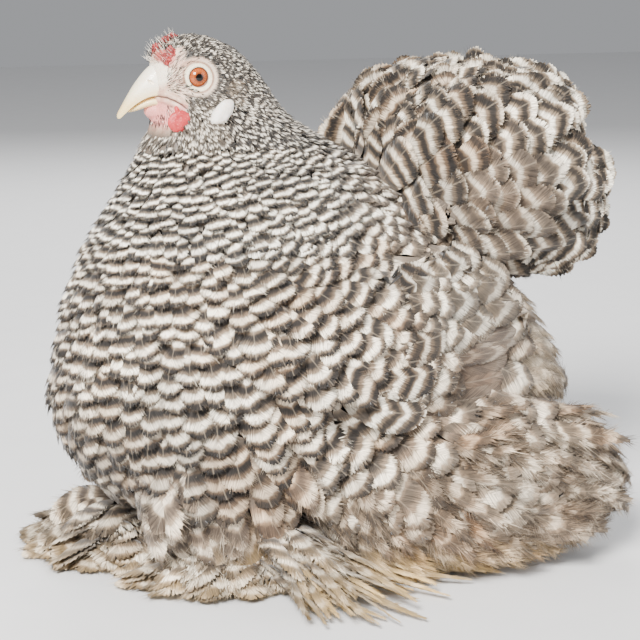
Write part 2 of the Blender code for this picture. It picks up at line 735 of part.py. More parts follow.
def build_foot(side, collection, helpers):
    spread = FOOTINGS[side]
    centre = Vector(on_side(spread["centre"], side))
    foot = ellipsoid("foot_" + side, centre, spread["mound"], collection, 0.0, 18, 10)
    pieces = []
    tips = []
    for heading, length in TOES:
        toe, tip, direction = build_toe(side, heading, length, helpers)
        pieces.append(toe)
        tips.append((tip, direction))
    rng = random.Random(23)
    ground = Vector((centre.x, centre.y, 0.0))
    for first, last, count, ahead, aside, width, root_height, tip_height in spread["tiers"]:
        for i in range(count):
            heading = first + (last - first) * i / max(count - 1, 1) + rng.uniform(-2.0, 2.0)
            angle = math.radians(heading)
            far = rng.uniform(0.92, 1.0) / math.hypot(math.cos(angle) / ahead, math.sin(angle) / aside)
            high = root_height + 0.0016 * (i % 2)
            pieces.append(footing_vane(side, ground, heading, far, width, high, tip_height, helpers))
    join_pieces(foot, pieces)
    return foot, tips


def floor_cutter(helpers):
    bpy.ops.mesh.primitive_cube_add(size=1.0, location=(0.0, 0.0, -0.5))
    cutter = bpy.context.object
    cutter.data.transform(cutter.matrix_world)
    cutter.matrix_world = Matrix.Identity(4)
    for holder in list(cutter.users_collection):
        holder.objects.unlink(cutter)
    helpers.objects.link(cutter)
    hide_helper(cutter)
    return cutter


def build_leg(side, hen, helpers, trunk_clear, wing_clear, floor):
    """Thigh, feathered shank, foot and claws of one leg, each cut clear of the ones before it."""
    thigh = ellipsoid("thigh_" + side, on_side(THIGH_CENTRE, side), THIGH_SIZE, hen, THIGH_TILT, 20, 12)
    shank = ellipsoid("shank_" + side, on_side(SHANK_CENTRE, side), SHANK_SIZE, hen, 0.0, 20, 12)
    foot, tips = build_foot(side, hen, helpers)
    for piece in (thigh, shank, foot):
        cut_away(piece, trunk_clear, keep_cutter=True)
        cut_away(piece, floor, keep_cutter=True)
    cut_away(thigh, wing_clear)
    thigh_clear = grown_copy(thigh, GAP, helpers)
    for piece in (shank, foot):
        cut_away(piece, thigh_clear, keep_cutter=True)
    cut_away(foot, grown_copy(shank, GAP, helpers))
    for number, (tip, direction) in enumerate(tips, start=1):
        claw = build_claw("claw_%s_%d" % (side, number), tip, direction, hen)
        claw_clear = grown_copy(claw, GAP, helpers)
        cut_away(shank, claw_clear, keep_cutter=True)
        cut_away(foot, claw_clear)


def build_face(side, hen, lower, helpers, trunk_clear):
    """Eye, earlobe and wattle of one side."""
    ellipsoid("eye_" + side, on_side(EYE, side), [EYE_RADIUS] * 3, hen, 0.0, 14, 10)
    lobe = ellipsoid("earlobe_" + side, on_skin(EARLOBE, side), EARLOBE_SIZE, hen, EARLOBE_TILT, 12, 8)
    wattle = ellipsoid("wattle_" + side, on_skin(WATTLE, side), WATTLE_SIZE, hen, WATTLE_TILT, 12, 8)
    for piece in (lobe, wattle):
        cut_away(piece, trunk_clear, keep_cutter=True)
    cut_away(wattle, grown_copy(lower, GAP, helpers))


def centre_on_floor(hen, helpers):
    """Moves everything so that the middle of the whole hen's box stands over the origin."""
    corners = [v.co for obj in hen.objects for v in obj.data.vertices]
    low = [min(c[k] for c in corners) for k in range(3)]
    high = [max(c[k] for c in corners) for k in range(3)]
    shift = Vector((-(low[0] + high[0]) / 2.0, -(low[1] + high[1]) / 2.0, -low[2]))
    for obj in [*hen.objects, *helpers.objects]:
        obj.data.transform(Matrix.Translation(shift))


def paint(hen):
    """Gives each node the material of what it is."""
    plumage = make_material("plumage", FEATHER_GREY, 0.85)
    fluff = make_material("fluff", FLUFF_GREY, 0.90)
    horn = make_material("bill_horn", HORN_WHITE, 0.40)
    red = make_material("comb_skin", COMB_RED, 0.50)
    white = make_material("lobe_skin", LOBE_WHITE, 0.55)
    iris = make_material("eye", IRIS_ORANGE, 0.08)
    claw = make_material("claw_horn", CLAW_HORN, 0.45)
    by_prefix = {"bill": horn, "comb": red, "wattle": red, "earlobe": white}
    by_prefix.update({"eye": iris, "claw": claw, "thigh": fluff, "shank": fluff})
    for obj in hen.objects:
        obj.data.materials.clear()
        obj.data.materials.append(by_prefix.get(obj.name.split("_")[0], plumage))


def build_hen():
    clear_scene()
    hen = make_collection("pekin_bantam")
    helpers = make_collection("cutters")
    whole = build_trunk()
    trunk = object_from("trunk", whole, helpers)
    hide_helper(trunk)
    trunk_clear = grown_copy(trunk, GAP, helpers)
    floor = floor_cutter(helpers)

    build_head(whole, hen, helpers)
    trunk_between("neck", whole, NECK_CUT, HEAD_CUT, hen)
    trunk_between("torso", whole, None, NECK_CUT, hen)
    upper, lower = build_bills(hen, trunk_clear, helpers)
    build_comb(hen, trunk_clear, upper, helpers)
    tail = build_tail(hen, helpers)
    cut_away(tail, trunk_clear, keep_cutter=True)
    for side in SIDES:
        build_face(side, hen, lower, helpers, trunk_clear)
        wing = build_wing(side, hen, helpers)
        cut_away(wing, trunk_clear, keep_cutter=True)
        wing_clear = grown_copy(wing, GAP, helpers)
        cut_away(tail, wing_clear, keep_cutter=True)
        build_leg(side, hen, helpers, trunk_clear, wing_clear, floor)
    paint(hen)
    centre_on_floor(hen, helpers)


build_hen()
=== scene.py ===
"""Looks of the pekin bantam hen: skin, bill, comb, eyes and a cuckoo-barred coat of real feathers.

Places are given in the hen's own measures, metres with +Z up, her bill towards -X and her left side at -Y.
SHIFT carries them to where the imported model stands.
"""
import itertools
import math

import bmesh
import bpy
import numpy as np
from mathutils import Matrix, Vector
from mathutils.bvhtree import BVHTree


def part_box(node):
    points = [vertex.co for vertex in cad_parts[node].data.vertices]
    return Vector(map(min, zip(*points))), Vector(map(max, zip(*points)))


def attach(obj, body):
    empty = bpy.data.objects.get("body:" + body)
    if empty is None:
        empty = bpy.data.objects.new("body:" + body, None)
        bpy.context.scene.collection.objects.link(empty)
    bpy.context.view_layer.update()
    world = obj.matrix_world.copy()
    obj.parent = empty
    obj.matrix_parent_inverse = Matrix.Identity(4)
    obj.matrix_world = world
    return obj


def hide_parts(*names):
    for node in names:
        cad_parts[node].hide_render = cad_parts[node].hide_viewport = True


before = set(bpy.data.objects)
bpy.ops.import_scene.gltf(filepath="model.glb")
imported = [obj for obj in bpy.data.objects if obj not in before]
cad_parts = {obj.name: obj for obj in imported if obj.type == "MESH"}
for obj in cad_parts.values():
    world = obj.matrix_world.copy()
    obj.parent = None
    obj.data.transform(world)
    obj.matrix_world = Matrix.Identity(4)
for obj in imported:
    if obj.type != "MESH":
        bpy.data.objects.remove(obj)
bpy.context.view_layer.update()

SIDES = {"left": -1.0, "right": 1.0}  # the sign of Y on each side of the hen
EYE = (-0.0580, 0.0106, 0.2097)  # centre of the right eye's ball
EYE_RADIUS = 0.0049
IRIS_RADIUS = 0.0044
BILL_ROOT = (-0.0690, 0.0, 0.2035)
HEAD_AXIS = (-0.0500, 0.0, 0.0)
NECK_FOOT = 0.150  # height where the neck's hackle takes over from the trunk's feathers
HEAD_FOOT = 0.187  # height where the head's small feathers take over from the hackle
FLOOR_NAP = 0.0040  # feathers that would reach lower than this are laid down within it
SCATTER = 90000  # points tried on the form, of which the coat keeps those that are far enough apart
LEG_SCATTER = 60000
LEG_SPACING = 0.0063
CHEEK_SPACING = 0.44  # the head's spacings as shares of the table's
CROWN_SPACING = 0.53
WING_COVER = ((0.014, 0.053), (0.076, 0.134))  # x and z of the part of the flank that the wing hides
BARE_RING = 0.0072  # round the eye's axis: within this only bristles grow
BRISTLE_RING = (0.0067, 0.0100)  # and the bristles stand between these two
PATCH = 0.003  # width of one feather's own patch on the unwrap
TAIL_PATCH = 0.012
WIDE_PATCH = 0.020  # the same for the few large feathers of wings and feet
THICK = 0.0003  # thickness of the large feathers along their shafts
TONES = ("tone", "warm", "stain", "barred")  # what the Tone attribute's four channels hold
TAIL_CENTRE = (0.0680, 0.0, 0.1620)
TAIL_REACH = (0.0730, 0.0530, 0.0575)
TAIL_BLUNTNESS = 1.18
TAIL_POLE = (-0.90, 0.0, -0.35)  # from the tail's centre towards the back that it grows from
THIGH_CENTRE = (0.0420, 0.0480, 0.0400)
THIGH_SIZE = (0.0780, 0.0370, 0.0400)
SHANK_CENTRE = (-0.0560, 0.0370, 0.0400)
SHANK_SIZE = (0.0370, 0.0250, 0.0320)
FOOT_CENTRE = {"left": (-0.0480, -0.0340, 0.0020), "right": (-0.0760, 0.0270, 0.0020)}

# Bill from the face to the tip: upper line, lower line (the mouth's for the upper half), half width.
UPPER_BILL = [
    ((-0.0670, 0.2180), (-0.0630, 0.2000), 0.0078),
    ((-0.0722, 0.2160), (-0.0680, 0.2020), 0.0074),
    ((-0.0762, 0.2130), (-0.0725, 0.2026), 0.0066),
    ((-0.0791, 0.2098), (-0.0766, 0.2020), 0.0057),
    ((-0.0822, 0.2058), (-0.0804, 0.1999), 0.0046),
    ((-0.0853, 0.2009), (-0.0833, 0.1977), 0.0035),
    ((-0.0881, 0.1962), (-0.0863, 0.1947), 0.0025),
    ((-0.0897, 0.1936), (-0.0888, 0.1920), 0.0013),
]
LOWER_BILL = [
    ((-0.0640, 0.1992), (-0.0640, 0.1970), 0.0066),
    ((-0.0695, 0.2014), (-0.0695, 0.1990), 0.0060),
    ((-0.0740, 0.2018), (-0.0740, 0.1994), 0.0052),
    ((-0.0775, 0.2008), (-0.0775, 0.1986), 0.0042),
    ((-0.0805, 0.1990), (-0.0805, 0.1972), 0.0031),
    ((-0.0832, 0.1970), (-0.0832, 0.1960), 0.0019),
    ((-0.0848, 0.1957), (-0.0848, 0.1953), 0.0008),
]
NOSTRIL = (-0.0762, 0.0056, 0.2078)
NOSTRIL_SIZE = (0.0020, 0.0014, 0.0007)
NOSTRIL_TILT = 35.0
# Folds of the face as x and z: from the bill back along the gape, over the eye, and below it.
GAPE_FOLD = [(-0.0735, 0.2030), (-0.0708, 0.2028), (-0.0680, 0.2016), (-0.0655, 0.2002), (-0.0628, 0.1982)]
GAPE_LINE = [(-0.0735, 0.2018), (-0.0705, 0.2014), (-0.0680, 0.2003), (-0.0655, 0.1988), (-0.0634, 0.1970)]
BROW_FOLD = [(-0.0668, 0.2120), (-0.0645, 0.2152), (-0.0600, 0.2170), (-0.0555, 0.2160), (-0.0515, 0.2125)]
CHEEK_FOLD = [(-0.0660, 0.2060), (-0.0635, 0.2036), (-0.0595, 0.2024), (-0.0550, 0.2030), (-0.0515, 0.2055)]
COMB_PATCH = (-0.0702, 0.0, 0.2192)
COMB_SPREAD = [(-0.0694, 0.2166, 0.0023), (-0.0678, 0.2196, 0.0020)]
WATTLE = {"centre": (-0.0668, 0.1920), "size": (0.0052, 0.0018, 0.0045), "tilt": -20.0}
LOBE = {"centre": (-0.0496, 0.1953), "size": (0.0036, 0.0026, 0.0066), "tilt": 40.0}
EAR_TUFT = (-0.0461, 0.2064)

# The trunk's outline: height, foremost x, rearmost x, half width.
TRUNK = np.array([
    (0.0240, -0.0760, 0.0540, 0.0300),
    (0.0310, -0.0930, 0.0780, 0.0460),
    (0.0420, -0.1060, 0.0970, 0.0580),
    (0.0550, -0.1150, 0.1070, 0.0650),
    (0.0700, -0.1205, 0.1110, 0.0690),
    (0.0840, -0.1190, 0.1070, 0.0690),
    (0.1000, -0.1160, 0.0980, 0.0670),
    (0.1180, -0.1120, 0.0840, 0.0630),
    (0.1350, -0.1050, 0.0660, 0.0570),
    (0.1500, -0.0960, 0.0480, 0.0500),
    (0.1620, -0.0885, 0.0330, 0.0430),
    (0.1720, -0.0825, 0.0180, 0.0355),
    (0.1800, -0.0785, 0.0030, 0.0290),
    (0.1880, -0.0750, -0.0110, 0.0230),
    (0.1950, -0.0740, -0.0190, 0.0185),
    (0.2150, -0.0745, -0.0335, 0.0132),
])
PLAN_POWER = 2.25
WIDEST = 0.52
TIP_PHASE = 0.46  # where the bars stand at a feather's tip: just past a pale band

# The coat of the trunk by height: length, half width, spacing of the feathers and length of one bar.
COAT = np.array([
    (0.000, 0.0340, 0.0118, 0.0096, 0.0125),
    (0.045, 0.0315, 0.0108, 0.0090, 0.0116),
    (0.075, 0.0270, 0.0093, 0.0079, 0.0102),
    (0.100, 0.0250, 0.0084, 0.0072, 0.0092),
    (0.135, 0.0200, 0.0068, 0.0060, 0.0080),
    (0.155, 0.0150, 0.0050, 0.0046, 0.0062),
    (0.175, 0.0102, 0.0033, 0.0031, 0.0045),
    (0.190, 0.0082, 0.0021, 0.0020, 0.0034),
    (0.205, 0.0066, 0.0014, 0.0013, 0.0027),
    (0.230, 0.0056, 0.0011, 0.0010, 0.0022),
])


def box_centre(node):
    low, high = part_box(node)
    return (low + high) / 2.0


SHIFT = np.array(box_centre("eye_left")) - np.array((EYE[0], -EYE[1], EYE[2]))


def placed(point):
    """A point of the hen's own measures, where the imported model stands."""
    return Vector(tuple(np.array(point) + SHIFT))


def smooth_step(start, end, value):
    """0 at the start and 1 at the end, which may lie on either side of it."""
    share = np.clip((value - start) / (end - start), 0.0, 1.0)
    return share * share * (3.0 - 2.0 * share)


def unit(vectors):
    return vectors / np.maximum(np.linalg.norm(vectors, axis=-1, keepdims=True), 1e-9)


def spine_lengths(spine):
    return np.linalg.norm(np.diff(spine, axis=1), axis=2).sum(1)


# Pieces and materials.

def new_object(name, data):
    obj = bpy.data.objects.new(name, data)
    bpy.context.scene.collection.objects.link(obj)
    return obj


def work_on(*objects):
    """Selects these pieces alone, the first as the active one. Without a piece it only clears the choice."""
    if bpy.context.object and bpy.context.object.mode != "OBJECT":
        bpy.ops.object.mode_set(mode="OBJECT")
    bpy.ops.object.select_all(action="DESELECT")
    for obj in objects:
        obj.select_set(True)
        bpy.context.view_layer.objects.active = objects[0]


def settle(obj):
    """Puts the piece's place into its mesh."""
    work_on(obj)
    bpy.ops.object.transform_apply(location=True, rotation=True, scale=True)


def edit_whole(obj, operation, **values):
    """Works on all of a piece's mesh at once."""
    work_on(obj)
    bpy.ops.object.mode_set(mode="EDIT")
    bpy.ops.mesh.select_all(action="SELECT")
    operation(**values)
    bpy.ops.object.mode_set(mode="OBJECT")


def take_modifier(obj, kind, **values):
    work_on(obj)
    modifier = obj.modifiers.new("step", kind)
    for key, value in values.items():
        setattr(modifier, key, value)
    bpy.ops.object.modifier_apply(modifier=modifier.name)


def finish_piece(obj, material, slot, *replaced):
    obj.data.materials.clear()
    obj.data.materials.append(material)
    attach(obj, "root")
    if replaced:
        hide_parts(*replaced)
    return obj


def copied_nodes(name, nodes):
    """One object with merged copies of the solids of these nodes."""
    copies = [new_object(name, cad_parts[node].data.copy()) for node in nodes]
    if len(copies) > 1:
        join_into(copies[0], copies[1:])
    edit_whole(copies[0], bpy.ops.mesh.remove_doubles, threshold=0.00001)
    copies[0].name = name
    return copies[0]


def ball(name, centre, size, segments=32, rings=20, tilt=0.0):
    work_on()
    bpy.ops.mesh.primitive_uv_sphere_add(
        segments=segments, ring_count=rings, radius=1.0, location=placed(centre),
        rotation=(0.0, math.radians(tilt), 0.0), scale=size,
    )
    obj = bpy.context.object
    obj.name = name
    settle(obj)
    return obj


def join_into(target, others):
    work_on(target, *others)
    bpy.ops.object.join()


def smoothed_form(obj, voxel, rounds):
    """One closed surface round all of the object's shells, with its facets rubbed down."""
    take_modifier(obj, "REMESH", mode="VOXEL", voxel_size=voxel, use_smooth_shade=True)
    if rounds:
        take_modifier(obj, "SMOOTH", factor=0.5, iterations=rounds)


def new_material(name, roughness, **values):
    """A material, its nodes and its shader, with constant values on the shader's own sockets."""
    material = bpy.data.materials.new(name)
    material.use_nodes = True
    shader = material.node_tree.nodes["Principled BSDF"]
    shader.inputs["Roughness"].default_value = roughness
    for key, value in values.items():
        shader.inputs[key.replace("_", " ")].default_value = value
    return material, material.node_tree, shader


def linear(*screen):
    """Red, green and blue as they look on a screen, 0 to 255, as light."""
    parts = []
    for value in screen:
        share = value / 255.0
        parts.append(share / 12.92 if share <= 0.04045 else ((share + 0.055) / 1.055) ** 2.4)
    return (*parts, 1.0)


def feed(tree, socket, value):
    """Links another node's output to a socket, or gives the socket a value of its own."""
    if hasattr(value, "is_output"):
        tree.links.new(value, socket)
    else:
        socket.default_value = value


def add_node(tree, kind, **values):
    """A node with inputs by name, words joined by underscores, and properties."""
    node = tree.nodes.new(kind)
    for key, value in values.items():
        name = key.replace("_", " ")
        if name in node.inputs:
            feed(tree, node.inputs[name], value)
        else:
            setattr(node, key, value)
    return node


def maths(tree, operation, *values, kind="ShaderNodeMath", result=0):
    """The result of one sum on numbers or other nodes' outputs."""
    node = add_node(tree, kind, operation=operation)
    for socket, value in zip(node.inputs, values):
        feed(tree, socket, value)
    return node.outputs[result]


def vector_maths(tree, operation, *values):
    """The same for vectors. A length, distance or dot product is a number."""
    result = "Value" if operation in ("LENGTH", "DISTANCE", "DOT_PRODUCT") else "Vector"
    return maths(tree, operation, *values, kind="ShaderNodeVectorMath", result=result)


def mixed(tree, factor, first, second, blend="MIX"):
    node = add_node(tree, "ShaderNodeMix", data_type="RGBA", blend_type=blend)
    for index, value in ((0, factor), (6, first), (7, second)):  # the sockets that a mix of colours uses
        feed(tree, node.inputs[index], value)
    return node.outputs[2]


def spread(tree, value, low, high, start=0.0, end=1.0):
    """Start where the value is low and end where it is high, with a soft run between."""
    node = add_node(tree, "ShaderNodeMapRange", interpolation_type="SMOOTHSTEP", Value=value, From_Min=low,
                    From_Max=high, To_Min=start, To_Max=end)
    return node.outputs["Result"]


def noise(tree, vector, scale, detail=2.0, roughness=0.5):
    return add_node(tree, "ShaderNodeTexNoise", Vector=vector, Scale=scale, Detail=detail,
                    Roughness=roughness).outputs["Fac"]


def cloudy(tree, place, scale, detail=2.0, low=0.35, high=0.65, start=0.0, end=1.0):
    """Soft cloudy patches."""
    return spread(tree, noise(tree, place, scale, detail), low, high, start, end)


def shaded(tree, colour, value):
    """The colour times a level of grey."""
    grey = add_node(tree, "ShaderNodeCombineColor", Red=value, Green=value, Blue=value).outputs["Color"]
    return mixed(tree, 1.0, colour, grey, "MULTIPLY")


def ramp(tree, factor, stops):
    """A run of colours, each given by its place and its red, green and blue."""
    node = add_node(tree, "ShaderNodeValToRGB", Fac=factor)
    elements = node.color_ramp.elements
    while len(elements) < len(stops):
        elements.new(0.5)
    for element, (place, *colour) in zip(elements, stops):
        element.position = place
        element.color = linear(*colour)
    return node.outputs["Color"]


def bump(tree, shader, height, strength, distance):
    node = add_node(tree, "ShaderNodeBump", Strength=strength, Distance=distance, Height=height)
    tree.links.new(node.outputs["Normal"], shader.inputs["Normal"])


def object_place(tree):
    return tree.nodes.new("ShaderNodeTexCoord").outputs["Object"]


def from_point(tree, point):
    """Object coordinates counted from a point of the hen."""
    return vector_maths(tree, "SUBTRACT", object_place(tree), placed(point))


def off_axis(tree, x, z):
    """Object coordinates counted from a line across the hen, as her side view shows them."""
    return vector_maths(tree, "MULTIPLY", from_point(tree, (x, 0.0, z)), (1.0, 0.0, 1.0))


# Feather material.

def build_barring_group():
    """Cuckoo barring: each bar fades from dark over the middle tone to a pale crest, then drops to dark."""
    group = bpy.data.node_groups.new("cuckoo_barring", "ShaderNodeTree")
    sockets = {"Phase": "Float", "Pale": "Color", "Middle": "Color", "Dark": "Color", "Contrast": "Float"}
    for name, kind in sockets.items():
        group.interface.new_socket(name, in_out="INPUT", socket_type="NodeSocket" + kind)
    group.interface.new_socket("Color", in_out="OUTPUT", socket_type="NodeSocketColor")
    entry = group.nodes.new("NodeGroupInput")
    share = maths(group, "FRACT", entry.outputs["Phase"])
    rise = spread(group, share, 0.46, 1.04)
    fall = spread(group, share, 0.06, 0.42, 1.0, 0.0)
    light = maths(group, "MAXIMUM", rise, fall)
    ground = mixed(group, spread(group, light, 0.0, 0.55), entry.outputs["Dark"], entry.outputs["Middle"])
    crest = maths(group, "MULTIPLY", spread(group, light, 0.56, 1.02), entry.outputs["Contrast"])
    colour = mixed(group, crest, ground, entry.outputs["Pale"])
    group.links.new(colour, group.nodes.new("NodeGroupOutput").inputs["Color"])
    return group


BARRING = build_barring_group()


def plumage_material(name, pale, middle, dark, plain, contrast, wobble, barb_rows):
    """Bars from the Barring map, warmth, stain and tone from the Tone attribute, barbs as fine ribs, painted
    shade towards each feather's sides, and grey down at its root that is also painted shade.
    """
    material, tree, shader = new_material(name, 0.72, Sheen_Weight=0.25, Sheen_Roughness=0.5,
                                          Specular_IOR_Level=0.28)
    barring, blade = (
        add_node(tree, "ShaderNodeSeparateXYZ",
                 Vector=add_node(tree, "ShaderNodeUVMap", uv_map=layer).outputs["UV"]).outputs
        for layer in ("Barring", "Blade"))
    across, along = blade["X"], blade["Y"]
    place = object_place(tree)
    drift = maths(tree, "MULTIPLY_ADD", noise(tree, place, 260.0), wobble, -wobble / 2.0)
    tone = add_node(tree, "ShaderNodeAttribute", attribute_name="Tone")
    tones = add_node(tree, "ShaderNodeSeparateColor", Color=tone.outputs["Color"]).outputs
    # Barbs run forwards and outwards from the shaft.
    off_shaft = maths(tree, "ABSOLUTE", maths(tree, "SUBTRACT", across, 0.5))
    barb_run = maths(tree, "MULTIPLY_ADD", off_shaft, -0.9, along)
    ribs = add_node(tree, "ShaderNodeCombineXYZ", X=maths(tree, "MULTIPLY", barb_run, barb_rows),
                    Y=maths(tree, "MULTIPLY", across, 2.5), Z=maths(tree, "MULTIPLY", barring["X"], 97.0))
    barbs = noise(tree, ribs.outputs["Vector"], 1.0, 3.0, 0.75)
    # Single barbs carry the bars a little further or less far than their neighbours.
    slipped = maths(tree, "MULTIPLY_ADD", barbs, 0.30, -0.15)
    phase = maths(tree, "ADD", maths(tree, "ADD", barring["Y"], drift), slipped)
    bars = add_node(tree, "ShaderNodeGroup", node_tree=BARRING, Phase=phase, Pale=linear(*pale),
                    Middle=linear(*middle), Dark=linear(*dark), Contrast=contrast)
    colour = mixed(tree, tone.outputs["Alpha"], linear(*plain), bars.outputs["Color"])
    patchy = maths(tree, "MULTIPLY_ADD", cloudy(tree, place, 30.0), 0.7, 0.35)
    warmth = maths(tree, "MULTIPLY", tones["Green"], patchy)
    colour = mixed(tree, warmth, colour, linear(190, 156, 122), "MULTIPLY")
    tip_stain = maths(tree, "MULTIPLY", tones["Blue"], spread(tree, along, 0.50, 0.95, 0.08, 0.85))
    colour = mixed(tree, tip_stain, colour, linear(212, 178, 116))
    colour = shaded(tree, colour, spread(tree, barbs, 0.26, 0.74, 0.40, 1.46))
    # Grey down at the root: partly the down's own colour, partly painted shade under the overlapping
    # feathers.
    colour = mixed(tree, spread(tree, along, 0.12, 0.46, 0.85, 0.0), colour, linear(112, 100, 88))
    level = maths(tree, "MULTIPLY_ADD", tones["Red"], 1.25, 0.44)
    level = maths(tree, "MULTIPLY", level, cloudy(tree, place, 46.0, 2.0, 0.3, 0.7, 0.74, 1.16))
    # Painted shade: lighter along the shaft and darker towards the sides, as light falls on a rounded vane.
    level = maths(tree, "MULTIPLY", level, spread(tree, off_shaft, 0.24, 0.50, 1.04, 0.66))
    colour = shaded(tree, colour, level)
    shaft = spread(tree, off_shaft, 0.008, 0.022, 0.22, 0.0)
    colour = mixed(tree, shaft, colour, linear(176, 160, 138))
    tree.links.new(colour, shader.inputs["Base Color"])
    tree.links.new(spread(tree, barbs, 0.2, 0.8, 0.84, 0.60), shader.inputs["Roughness"])
    bump(tree, shader, barbs, 0.5, 0.0004)
    return material


# Feather blades.

class Blade:
    """The pattern of one feather: shares along and across, and faces, of a closed blade with a toothed rim.

    The shaft has few stations and the rim many points, most of them on the half that shows."""

    def __init__(self, segments, rim_points, raggedness, root_width=0.16, widest=0.50, slender=0.30,
                 bluntness=2.3):
        self.segments = segments
        self.raggedness = raggedness
        along = np.linspace(0.0, 1.0, 600)
        rise = root_width + (1.0 - root_width) * smooth_step(0.0, widest, along)
        cap = 1.0 - (np.clip(along - widest, 0.0, None) / (1.0 - widest)) ** bluntness
        half = rise * np.sqrt(np.clip(cap, 0.0, 1.0))
        steps = np.hypot(np.diff(along), np.diff(half) * slender)
        steps = steps * (0.25 + 0.75 * smooth_step(0.2, 0.5, along[1:]))
        arc = np.concatenate([[0.0], np.cumsum(steps)])
        shares = np.arange(rim_points + 1) / rim_points
        rim_along = np.interp(shares, arc / arc[-1], along)
        rim_across = np.interp(shares, arc / arc[-1], half)
        alternate = np.where(np.arange(rim_points + 1) % 2 == 1, 1.0, -1.0)
        teeth = alternate * smooth_step(0.05, 0.40, rim_along)
        shaft_end = 0.90
        shaft = np.linspace(0.0, shaft_end, segments + 1)
        none = np.zeros(2 * segments + 1)
        self.along = np.concatenate([shaft, shaft[1:], rim_along[:-1], rim_along[:-1], [1.0]])
        self.across = np.concatenate([none, rim_across[:-1], -rim_across[:-1], [0.0]])
        self.height = np.concatenate([[0.0], np.ones(segments), -np.ones(segments),
                                      np.zeros(2 * rim_points + 1)])
        self.teeth = np.concatenate([none, teeth[:-1], teeth[:-1], [0.5]])
        self.first_rim = 2 * segments + 1
        apex = self.first_rim + 2 * rim_points
        self.count = apex + 1
        # Each rim point hangs on the shaft station that its barb springs from.
        sprung = np.clip(rim_along - 0.10 * rim_across, 0.0, 1.0) / shaft_end * segments
        station = np.clip(sprung.astype(int), 0, segments)
        station[0], station[-1] = 0, segments
        shaft_tops = list(range(segments + 1))
        shaft_unders = [0] + list(range(segments + 1, 2 * segments + 1))
        right = list(range(self.first_rim, self.first_rim + rim_points)) + [apex]
        left = list(range(self.first_rim + rim_points, apex)) + [apex]
        faces = []
        for rim, mirrored in ((right, False), (left, True)):
            for line, under in ((shaft_tops, False), (shaft_unders, True)):
                for j in range(rim_points):
                    here, there = station[j], station[j + 1]
                    new = [(line[here], rim[j + 1], rim[j])]
                    for k in range(here, there):
                        new.append((line[k], line[k + 1], rim[j + 1]))
                    faces += [face[::-1] if mirrored != under else face for face in new]
        self.faces = np.array(faces, np.int32)
        self.outline = (along, half)


def mesh_piece(name, points, faces, rim, maps, tone):
    """A mesh from arrays. maps gives each UV map by name, tone the Tone attribute, both by vertex."""
    mesh = bpy.data.meshes.new(name)
    mesh.vertices.add(len(points))
    mesh.vertices.foreach_set("co", points.astype(np.float32).ravel())
    mesh.loops.add(faces.size)
    mesh.loops.foreach_set("vertex_index", faces.ravel())
    mesh.polygons.add(len(faces))
    mesh.polygons.foreach_set("loop_start", np.arange(0, faces.size, 3, dtype=np.int32))
    mesh.polygons.foreach_set("use_smooth", np.ones(len(faces), bool))
    mesh.update(calc_edges=True)
    edges = np.zeros(len(mesh.edges) * 2, np.int32)
    mesh.edges.foreach_get("vertices", edges)
    sharp = rim[edges.reshape(-1, 2)].all(axis=1)
    mesh.attributes.new("sharp_edge", "BOOLEAN", "EDGE").data.foreach_set("value", sharp)
    corners = faces.ravel()
    for map_name, values in maps.items():
        layer = mesh.uv_layers.new(name=map_name)
        layer.uv.foreach_set("vector", values[corners].astype(np.float32).ravel())
    colours = mesh.color_attributes.new("Tone", "FLOAT_COLOR", "POINT")
    colours.data.foreach_set("color", tone.astype(np.float32).ravel())
    mesh.validate()
    return new_object(name, mesh)


def repeated(faces, number, count, first=0):
    """The faces of one blade or spike of so many corners, for all of them in turn."""
    starts = np.arange(number, dtype=np.int32) * count
    return (faces[None] + starts[:, None, None] + first).reshape(-1, 3)


def between(rows, along, *lines):
    """Values of lines of stations at each share along, by feather."""
    segments = lines[0].shape[1] - 1
    at = along * segments
    low = np.clip(at.astype(int), 0, segments - 1)
    share = (at - low)[..., None]
    return [line[rows, low] * (1.0 - share) + line[rows, low + 1] * share for line in lines]


def barring_map(facts, phase):
    return np.stack([np.broadcast_to(facts["chance"][:, None], phase.shape), phase], -1)


def bar_phase(facts, along, across):
    """Where a place on the blade stands in its bars, which bend back from the shaft like the tip."""
    bend = np.copysign(facts["bend"], facts["bars"])
    return facts["phase"][:, None] + facts["bars"][:, None] * along + bend[:, None] * across**2


